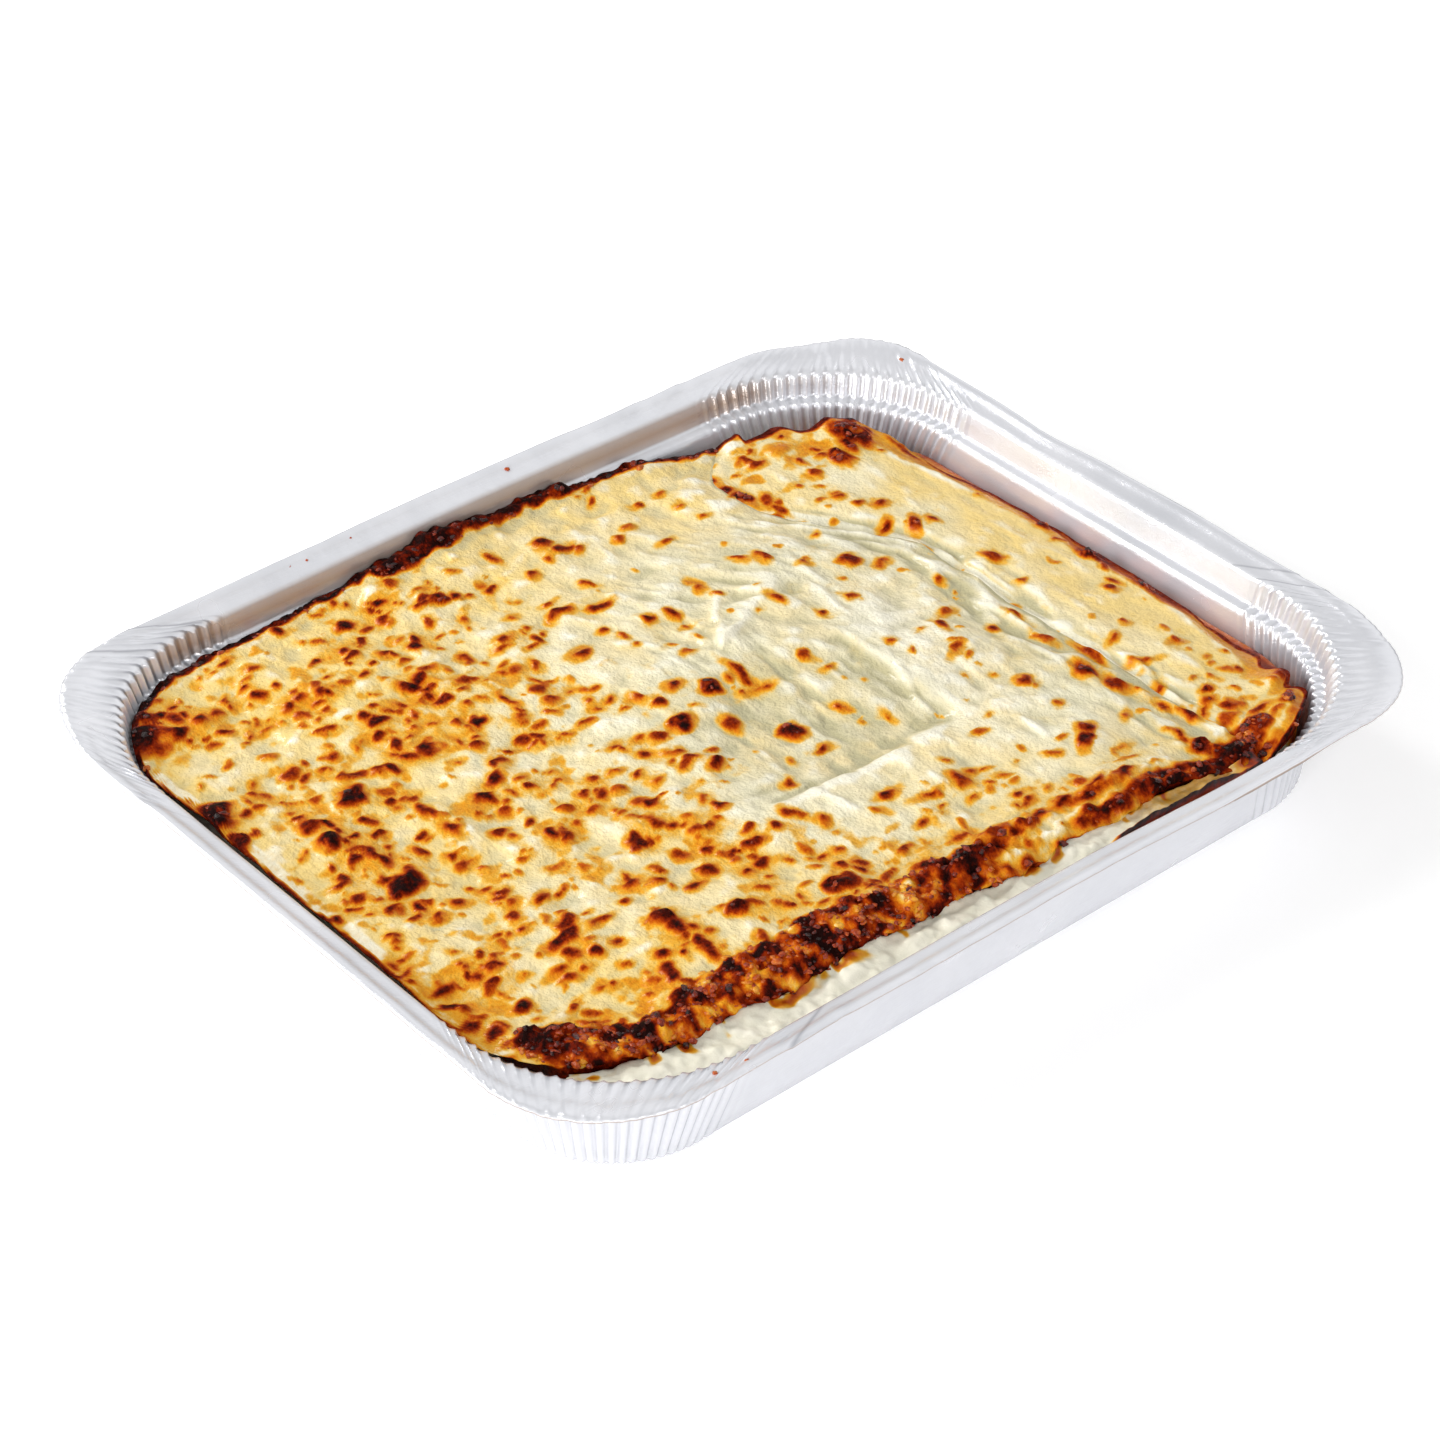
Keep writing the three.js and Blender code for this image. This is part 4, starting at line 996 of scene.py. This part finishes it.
# Painted grey-green shade: in the sunken patch, the wrinkled strip and a few low places, near the back
# edge, and wherever the top lies below its surroundings. Painted highlight on ridges and on the hump
# right of the sunken patch.
main_proud = stands_proud(main_z, 6)
sunk = ease(-38, 6, main_x) * ease(60, 43, main_x) * ease(-50, -42, main_y) * ease(40, -12, main_y)
main_hollow_shade = 0.65 * sunk + 0.25 * ease(60, 95, main_x) * ease(-95, -60, main_y) + 0.4 * wrinkled
main_hollow_shade += 0.4 * mound(main_x, main_y, 42, 52, 30, 16, -35)
main_hollow_shade *= 0.8 + 0.4 * lumps(main_x, main_y, 9, 103) - 0.9 * main_streaks
main_hollow_shade += 0.35 * ease(14, 3, from_back) + 0.6 * ease(0.0, -0.7, main_proud)
main_ridge_light = ease(0.05, 0.6, main_proud + 0.15 * lumps(main_x, main_y, 3, 106))
main_ridge_light += 0.75 * mound(main_x, main_y, 60, -8, 14, 40, -12)


def paint_baked(piece, browning, edge_browning, butter, painted_hollow_shade, crest):
    """Stores how the top baked, with its painted hollow shade and painted ridge highlight. The
    sides below it are buttery and take one browning.
    """
    finish_attribute(piece, "browning", browning, edge_browning)
    finish_attribute(piece, "butter", butter, 1)
    finish_attribute(piece, "painted_hollow_shade", painted_hollow_shade, 0)
    finish_attribute(piece, "crest", crest, 0)


def baked_material(name, gloss, shine):
    """Baked cheese sauce: cream or buttery where pale, with painted grey-green shade in hollows
    and painted highlight on ridges; glossy, browned by its level.
    """
    material, tree, shader = new_material(name)
    mottle, height = use_mottle(tree, 0.0035)
    fine, fine_height = use_mottle(tree, 0.0011)
    pale = blend_colours(tree, attribute(tree, "butter"), rgb(236, 228, 196), rgb(238, 208, 132))
    # Painted highlight on ridges, then painted grey-green shade in hollows.
    pale = blend_colours(tree, attribute(tree, "crest"), pale, rgb(250, 244, 222))
    pale = blend_colours(tree, attribute(tree, "painted_hollow_shade"), pale, rgb(188, 180, 142))
    # The browner the sauce, the more its level varies from grain to grain.
    browning = attribute(tree, "browning")
    spread = calc(tree, "MULTIPLY_ADD", mottle, 0.44, -0.22)
    spread = calc(tree, "ADD", spread, calc(tree, "MULTIPLY_ADD", fine, 0.42, -0.21))
    strength = calc(tree, "MULTIPLY_ADD", browning, 1.2, 0.06)
    level = calc(tree, "MULTIPLY_ADD", spread, strength, browning)
    # Pale sauce keeps a film of fat, which burnt sauce has lost.
    film = add_node(tree, "ShaderNodeClamp")
    feed(tree, film, {"Value": calc(tree, "MULTIPLY_ADD", browning, -0.75, 0.5)})
    feed(tree, shader, {
        "Base Color": browned(tree, level, pale),
        "Roughness": calc(tree, "MULTIPLY_ADD", fine, 0.3, gloss),
        "Specular IOR Level": shine,
        "Coat Weight": film.outputs["Result"],
        "Coat Roughness": 0.16,
    })
    wrinkles = noise_at(tree, 380, 3, stretch=(1, 0.3, 1))
    height = calc(tree, "MULTIPLY_ADD", wrinkles, 0.45, height)
    bump_up(tree, shader, calc(tree, "MULTIPLY_ADD", fine_height, 0.35, height), 0.75, 0.0011)
    return material


paint_baked(main_sheet, main_brown, 0.8, main_butter, main_hollow_shade, main_ridge_light)
BROWNED_SAUCE = baked_material("browned_sauce", 0.34, 0.04)
main_sheet.data.materials.append(BROWNED_SAUCE)
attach(main_sheet, "root")
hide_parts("main_sheet")


# ---------------------------------------------------------------------------- side top sheet
# A narrow second sheet that laps over the main one along the right side. It slid down to the lower
# wall there, and its dry corners curled up and browned.

SIDE_HEIGHT = 28.2
SIDE_FOOT = 21.8
SIDE_LEVELS = [(27.5, 0.6), (21.0, 4.8)]
SIDE_CORNER = 45.8
SIDE_COLUMNS, SIDE_ROWS = 81, 301
SIDE_BLISTERS = 110
SIDE_GLOW = 0.16
# The curled corners and other lumps: place, half length, half width, turn in degrees and rise.
SIDE_LUMPS = [
    (123, 93, 8, 8, 0, 3.4),
    (88, 107, 7, 5, 0, 1.6),
    (130, -96, 9, 10, 0, 5.2),
    (118, -108, 12, 6, 35, 1.6),
    (116, 75, 12, 9, 0, 0.9),
    (95, -104, 10, 7, 0, 0.8),
]
# Scorches like those of the main sheet.
SIDE_SCORCHES = [
    (73, 97, 4, 12, 0.9), (71, 88, 8, 6, 1.0), (74, 81, 5, 12, 1.0, 12), (79, 70, 3, 8, 0.7, 12),
    (89, 92, 9, 4, 0.72), (100, 93, 9, 8, 0.42), (100, 76, 5, 4, 0.75), (112, 78, 6, 11, 0.95),
    (109, 83, 5, 4, 0.7), (118, 80, 5, 10, 0.9, -15), (125, 87, 11, 16, 0.96, -20),
    (98, 62, 5, 4, 0.75), (100, 55, 4, 4, 0.7), (105, 51, 6, 5, 0.75), (97, 24, 5, 4, 0.75),
    (111, 7, 6, 8, 0.7), (111, 34, 4, 5, 0.75), (98, 42, 8, 4, 0.85, 40), (105, 36, 8, 4, 0.85, 50),
    (109, -8, 4, 3, 0.7), (99, -14, 4, 3, 0.7), (108, -47, 6, 3, 0.7, 30), (106, -60, 9, 3, 0.7, -25),
    (121, -59, 5, 4, 1.0), (127, -27, 4, 6, 0.75), (137, 14, 5, 14, 0.95), (136, -8, 6, 9, 0.9),
    (137, -33, 5, 16, 0.95), (137, 40, 4, 18, 0.7, 8), (134, 70, 4, 20, 0.7, 8),
    (98, -107, 15, 11, 0.9), (107, -105, 9, 7, 0.84, 10), (104, -97, 13, 5, 0.62, 15),
    (111, -93, 5, 9, 0.55), (102, -89, 7, 3, 0.85, 10), (107, -87, 5, 4, 0.9), (110, -83, 4, 4, 0.95),
    (114, -101, 9, 4, 0.75), (122, -102, 8, 5, 0.95, 20), (115, -106, 11, 3, 0.6, 15),
    (102, -113, 10, 4, 0.95, -10), (126, -94, 4, 6, 0.55), (130, -92, 5, 8, 0.85, 10),
    (111, -76, 4, 3, 0.55), (116, -88, 3, 4, 0.5), (101, -72, 5, 4, 0.75),
]


def right_edge(y):
    """The side sheet's long edge, which slid down to the lower wall and draws in at its corners."""
    notches = 4.5 * mound(y, 0, -85, 0, 4.5, 1) + 4 * mound(y, 0, -97.3, 0, 2.2, 1)
    return 143.4 - 10.5 * np.abs((y + 5) / 90) ** 2.6 - notches


def side_top(x, y):
    z = SIDE_HEIGHT + 0.6 * swell(x, y) + 0.6 * ease(1, 14, x - seam(y))
    z -= 1.8 * ease(104, 136, x)
    for at_x, at_y, wide, deep, turn, rise in SIDE_LUMPS:
        z += rise * mound(x, y, at_x, at_y, wide, deep, turn)
    z += 2.2 * ease(-90, -110, y) * ease(136, 116, x)
    # Its right edge drops to the lower wall; at the corners it stays up and curls.
    foot = SIDE_FOOT + 7.5 * ease(62, 90, np.abs(y + 2))
    drop = ease(9.5, 0, right_edge(y) - x)
    return z * (1 - drop) + np.minimum(z, foot) * drop


side_u, side_v = np.meshgrid(np.linspace(0, 1, SIDE_COLUMNS), np.linspace(0, 1, SIDE_ROWS))
# The back edge steps down to the right where it tore, and the front one follows the wall's corner.
steps_down = 5.3 * ease(0.22, 0.30, side_u) + 8 * ease(0.58, 0.74, side_u) + 4 * ease(0.86, 1, side_u)
side_back = 109.6 - steps_down
side_front = -70.6 - np.sqrt(SIDE_CORNER**2 - (33 * side_u - 0.9) ** 2)
side_y = side_front + (side_back - side_front) * side_v
left_edge = seam(side_y) - 1.5 + 0.8 * lumps(side_y, side_y, 9, 97)
side_x = left_edge * (1 - side_u) + right_edge(side_y) * side_u


def side_share(x, y):
    """The side sheet's small blisters crowd at its two ends."""
    return 0.28 + 0.55 * ease(-50, -90, y) + 0.45 * ease(60, 90, y)


side_spots = scatter_spots(12, SIDE_BLISTERS, 72, 140, -115, 109, side_share)
side_scorched, side_swollen = spot_fields(side_x, side_y, SIDE_SCORCHES, SIDE_GLOW)
side_speckled, side_pimpled = spot_fields(side_x, side_y, side_spots, SIDE_GLOW)
# Painted highlights lighten patches of the side sheet's char too.
side_painted_char_highlights = ease(0.75, 0.95, side_scorched) * ease(-0.1, 0.45, lumps(side_x, side_y, 2.5, 69))

# Its dry long edge browned all along, most where it touched the wall, and its ends charred.
ragged = relief(side_x, side_y, (1.5, 9, 91), (0.7, 3, 95))
from_right = right_edge(side_y) - side_x + ragged
from_front = side_y - side_front
right_tan = ease(12, 6.5, from_right)
right_rim = ease(2.6, 0.8, from_right - 0.5 * ragged) * ease(78, 55, side_y)
right_burn = ease(11, 7, from_right) * mound(side_x, side_y, 141, -34, 20, 18)
right_burn += ease(11, 7, from_right) * mound(side_x, side_y, 141, -8, 20, 9)
right_burn += ease(8, 5, from_right) * mound(side_x, side_y, 141, 14, 20, 11)
back_burn = ease(3.2, 0.8, side_back - side_y + 0.8 * ragged)
corner_burn = 0.9 * ease(2.2, 0.8, from_front + 0.3 * ragged)
corner_burn = np.maximum(corner_burn, 0.4 * ease(8, 3, from_front + ragged))
side_brown = np.maximum.reduce([
    side_scorched - 0.34 * side_painted_char_highlights,
    side_speckled,
    0.33 * right_tan,
    0.76 * right_rim,
    0.78 * np.minimum(right_burn, 1),
    0.85 * back_burn,
    corner_burn * (1 + 0.3 * lumps(side_x, side_y, 2.6, 96)),
    0.5 * amber(side_x, side_y) * side_share(side_x, side_y),
])

charred = np.maximum(ease(0.7, 0.95, side_scorched), ease(0.4, 0.9, corner_burn))
side_streaks = streaks(side_x, side_y)
side_wrinkled = seam_strip(side_x, side_y)
side_z = side_top(side_x, side_y) + side_swollen + 0.8 * side_pimpled
side_z += 0.4 * lumps(side_x, side_y, 8, 93) + 0.34 * lumps(side_x, 0.4 * side_y, 3.2, 94)
side_z += 0.7 * charred * crumbs(side_x, side_y)
# The side sheet's left edge is a thin skin that dies away on the main sheet.
past_seam = side_x - seam(side_y) + 1.5
lapped = ease(9.0, 0.5, past_seam)
skin = main_skin(side_x, side_y) + 0.3 * ease(0.0, 4.0, past_seam) - 0.08
side_z = (side_z + 1.3 * side_streaks * side_wrinkled) * (1 - lapped) + skin * lapped


def side_lean(x, y):
    """Draws in from the wall along the front, and a little sideways at the other edges."""
    way_x, way_y = inward(x, y)
    lean_x = np.where(side_v == 0, way_x, np.where(side_u == 0, 0.45, -0.45))
    lean_y = np.where(side_v == 0, way_y, 0.0)
    return lean_x, lean_y


side_sheet = grid_slab("side_top_sheet", side_x, side_y, side_z, SIDE_LEVELS, side_lean)
side_butter = 0.5 + 0.35 * lumps(side_x, side_y, 14, 102) + 0.5 * ease(106, 125, side_x)
# Painted grey-green shade in the wrinkled strip and in hollows, and painted highlight on ridges.
side_proud = stands_proud(side_z, 6)
side_hollow_shade = 0.45 * side_wrinkled * (0.8 - 0.9 * side_streaks)
side_hollow_shade += 0.6 * ease(0.0, -0.6, side_proud)
side_ridge_light = ease(0.05, 0.6, side_proud + 0.15 * lumps(side_x, side_y, 3, 107))
paint_baked(side_sheet, side_brown, 0.75, side_butter, side_hollow_shade, side_ridge_light)
side_sheet.data.materials.append(BROWNED_SAUCE)
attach(side_sheet, "root")
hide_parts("side_sheet")


# ---------------------------------------------------------------------------- burnt crumbs
# Sauce that boiled up through the cut edges and charred into glassy bits, stuck to the sheets they
# lie on, with a few specks that spat onto the foil rim.

CRUMB_SIZE = 0.42
CRUMB_SPREAD = 0.9
MAIN_CRUMBS = 720
SIDE_CRUMBS = 150
# Specks on the rim: place and size. None stands higher than the rim's own top.
RIM_SPECKS = [
    (155.2, 104.6, 1.0), (155.6, 97.0, 1.3), (158.2, 91.0, 0.9), (158.6, 80.5, 1.0),
    (-63.1, 128.6, 1.2), (-57.0, 127.8, 0.8), (-139.3, -121.4, 1.0), (-112.8, -124.9, 1.2),
    (-104.0, -127.0, 0.8), (19.3, 128.6, 1.0), (-40.0, 129.0, 0.7), (156.6, -88.0, 0.6),
]
SPECK_TOP = 38.9


def crumb_heap(name, places, seed):
    """Rough little lumps joined as one piece; places holds x, y, z, size and browning."""
    random = np.random.default_rng(seed)
    ball = bmesh.new()
    bmesh.ops.create_icosphere(ball, subdivisions=2, radius=1.0)
    ball.verts.ensure_lookup_table()
    unit = np.array([vertex.co[:] for vertex in ball.verts])
    corners = np.array([[vertex.index for vertex in face.verts] for face in ball.faces])
    ball.free()
    points, faces, burnt = [], [], []
    for number, (x, y, z, size, browning) in enumerate(places):
        shape = unit * random.uniform(0.72, 1.25, (len(unit), 1)) * size
        shape = shape * random.uniform((0.9, 0.7, 0.45), (1.6, 1.1, 0.8))
        long, wide, high = shape.T
        turn = random.uniform(0, 2 * math.pi)
        c, s = math.cos(turn), math.sin(turn)
        points.append(np.stack([x + long * c - wide * s, y + long * s + wide * c, z + high], axis=1))
        faces.append(corners + number * len(unit))
        burnt.append(browning + random.uniform(-0.1, 0.1, len(unit)))
    piece = make_piece(name, np.concatenate(points), np.concatenate(faces).tolist())
    nothing = np.zeros(len(piece.data.vertices))
    paint_baked(piece, np.concatenate(burnt), 0, nothing + 1, nothing, nothing)
    return piece


def crumb_places(seed, count, x, y, z, browning, likely):
    """Random places on a sheet, more of them where crumbs are likely."""
    random = np.random.default_rng(seed)
    share = likely.ravel() / likely.sum()
    places = []
    for spot in random.choice(x.size, count, replace=False, p=share):
        size = CRUMB_SIZE + CRUMB_SPREAD * random.uniform() ** 2
        burn = 0.12 + 0.58 * browning.flat[spot] + 0.36 * random.uniform()
        places.append((x.flat[spot], y.flat[spot], z.flat[spot] - 0.3 * size, size, burn))
    return places


on_left = ease(12, -4, main_x)
main_likely = band * (on_left + 0.45 * (1 - on_left) * ease(0.66, 0.85, main_brown))
main_likely += 0.5 * back_rim * ease(0.5, 2.0, from_back) + 0.3 * ease(0.84, 0.95, scorched)
main_places = crumb_places(111, MAIN_CRUMBS, main_x, main_y, main_z, main_brown, main_likely)
main_crumbs = crumb_heap("main_crumbs", main_places, 112)
side_likely = ease(0.75, 0.95, side_scorched) * (0.4 + ease(-80, -95, side_y))
side_likely += 0.02 * corner_burn
side_places = crumb_places(113, SIDE_CRUMBS, side_x, side_y, side_z, side_brown, side_likely)
side_crumbs = crumb_heap("side_crumbs", side_places, 114)
flange = np.concatenate([tray_level(*TRAY_LEVELS[level]) for level in FLANGE_LEVELS])
rim_places = []
for x, y, size in RIM_SPECKS:
    nearest = flange[np.argmin(np.hypot(flange[:, 0] - x, flange[:, 1] - y))]
    rim_places.append((x, y, min(nearest[2], SPECK_TOP), 0.7 * size, 0.56))
rim_specks = crumb_heap("rim_specks", rim_places, 115)
CHARRED_CRUMBS = baked_material("charred_crumbs", 0.17, 0.4)
crumb_nodes = {main_crumbs: "main_sheet", side_crumbs: "side_sheet", rim_specks: "main_sheet"}
for piece, node in crumb_nodes.items():
    piece.data.materials.append(CHARRED_CRUMBS)
    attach(piece, "root")
    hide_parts(node)


# ---------------------------------------------------------------------------- studio
# A pale floor under soft light: a bright even sky, a strong lamp and a small glinting one behind,
# and weaker ones in front and on the left. The camera looks down on the near left corner.

FLOOR_SIZE = 6.0
bpy.ops.mesh.primitive_plane_add(size=FLOOR_SIZE, location=(0, 0, -0.0002))
floor = bpy.context.object
floor.name = "studio_floor"
floor_material, floor_tree, floor_shader = new_material("pale_floor")
floor_noise = noise_at(floor_tree, 8, 2)
floor_tone = blend_colours(floor_tree, floor_noise, rgb(250, 250, 250), rgb(253, 253, 253))
feed(floor_tree, floor_shader, {"Base Color": floor_tone, "Roughness": 0.9})
feed(floor_tree, floor_shader, {"Emission Color": floor_tone, "Emission Strength": 0.24})
floor.data.materials.append(floor_material)

FOOD_CENTRE = Vector((0, 0, 0.03))


def soft_lamp(name, place, size, power):
    """A square lamp turned to the food."""
    data = bpy.data.lights.new(name, "AREA")
    data.shape = "SQUARE"
    data.size = size
    data.energy = power
    lamp = bpy.data.objects.new(name, data)
    bpy.context.scene.collection.objects.link(lamp)
    lamp.location = place
    lamp.rotation_euler = (FOOD_CENTRE - lamp.location).to_track_quat("-Z", "Y").to_euler()
    return lamp


back_lamp = soft_lamp("back_lamp", (-1.15, 0.72, 0.78), 0.8, 17.5)
front_lamp = soft_lamp("front_lamp", (-0.3, -1.5, 1.2), 1.0, 9)
side_lamp = soft_lamp("side_lamp", (-1.25, -0.8, 0.34), 0.6, 9.5)
glint_lamp = soft_lamp("glint_lamp", (0.05, 1.2, 0.95), 0.3, 4)

# The sky lights evenly, but what the foil mirrors of it is brighter overhead and to the right.
SKY_LIGHT = 0.5
world = bpy.data.worlds.new("studio_sky")
bpy.context.scene.world = world
world.use_nodes = True
sky = world.node_tree
direction = add_node(sky, "ShaderNodeSeparateXYZ")
feed(sky, direction, {"Vector": add_node(sky, "ShaderNodeTexCoord").outputs["Generated"]})
to_right = calc(sky, "MINIMUM", calc(sky, "MULTIPLY_ADD", direction.outputs["X"], 3.2, -0.86), 1.1)
overhead = calc(sky, "MINIMUM", calc(sky, "MULTIPLY_ADD", direction.outputs["Z"], 1.3, 0.4), 1.0)
mirrored = calc(sky, "MAXIMUM", calc(sky, "MULTIPLY", to_right, overhead), 0.35)
glossy = add_node(sky, "ShaderNodeLightPath").outputs["Is Glossy Ray"]
more = calc(sky, "MULTIPLY", glossy, calc(sky, "SUBTRACT", mirrored, SKY_LIGHT))
sky_strength = calc(sky, "ADD", more, SKY_LIGHT)
feed(sky, sky.nodes["Background"], {"Strength": sky_strength, "Color": (1, 1, 1, 1)})
bpy.context.scene.view_settings.view_transform = "Standard"

CAMERA_AIM = Vector((-0.016489, -0.014203, 0.040))
CAMERA_AZIMUTH = math.radians(-40.547)
CAMERA_ELEVATION = math.radians(36.413)
CAMERA_DISTANCE = 1.0938
camera_data = bpy.data.cameras.new("camera")
camera_data.lens = 97.43
camera_data.sensor_width = 36.0
camera = bpy.data.objects.new("camera", camera_data)
bpy.context.scene.collection.objects.link(camera)
level_run, rise = math.cos(CAMERA_ELEVATION), math.sin(CAMERA_ELEVATION)
away_x, away_y = math.sin(CAMERA_AZIMUTH), -math.cos(CAMERA_AZIMUTH)
away = Vector((away_x * level_run, away_y * level_run, rise))
camera.location = CAMERA_AIM + CAMERA_DISTANCE * away
camera.rotation_euler = (-away).to_track_quat("-Z", "Y").to_euler()
bpy.context.scene.camera = camera
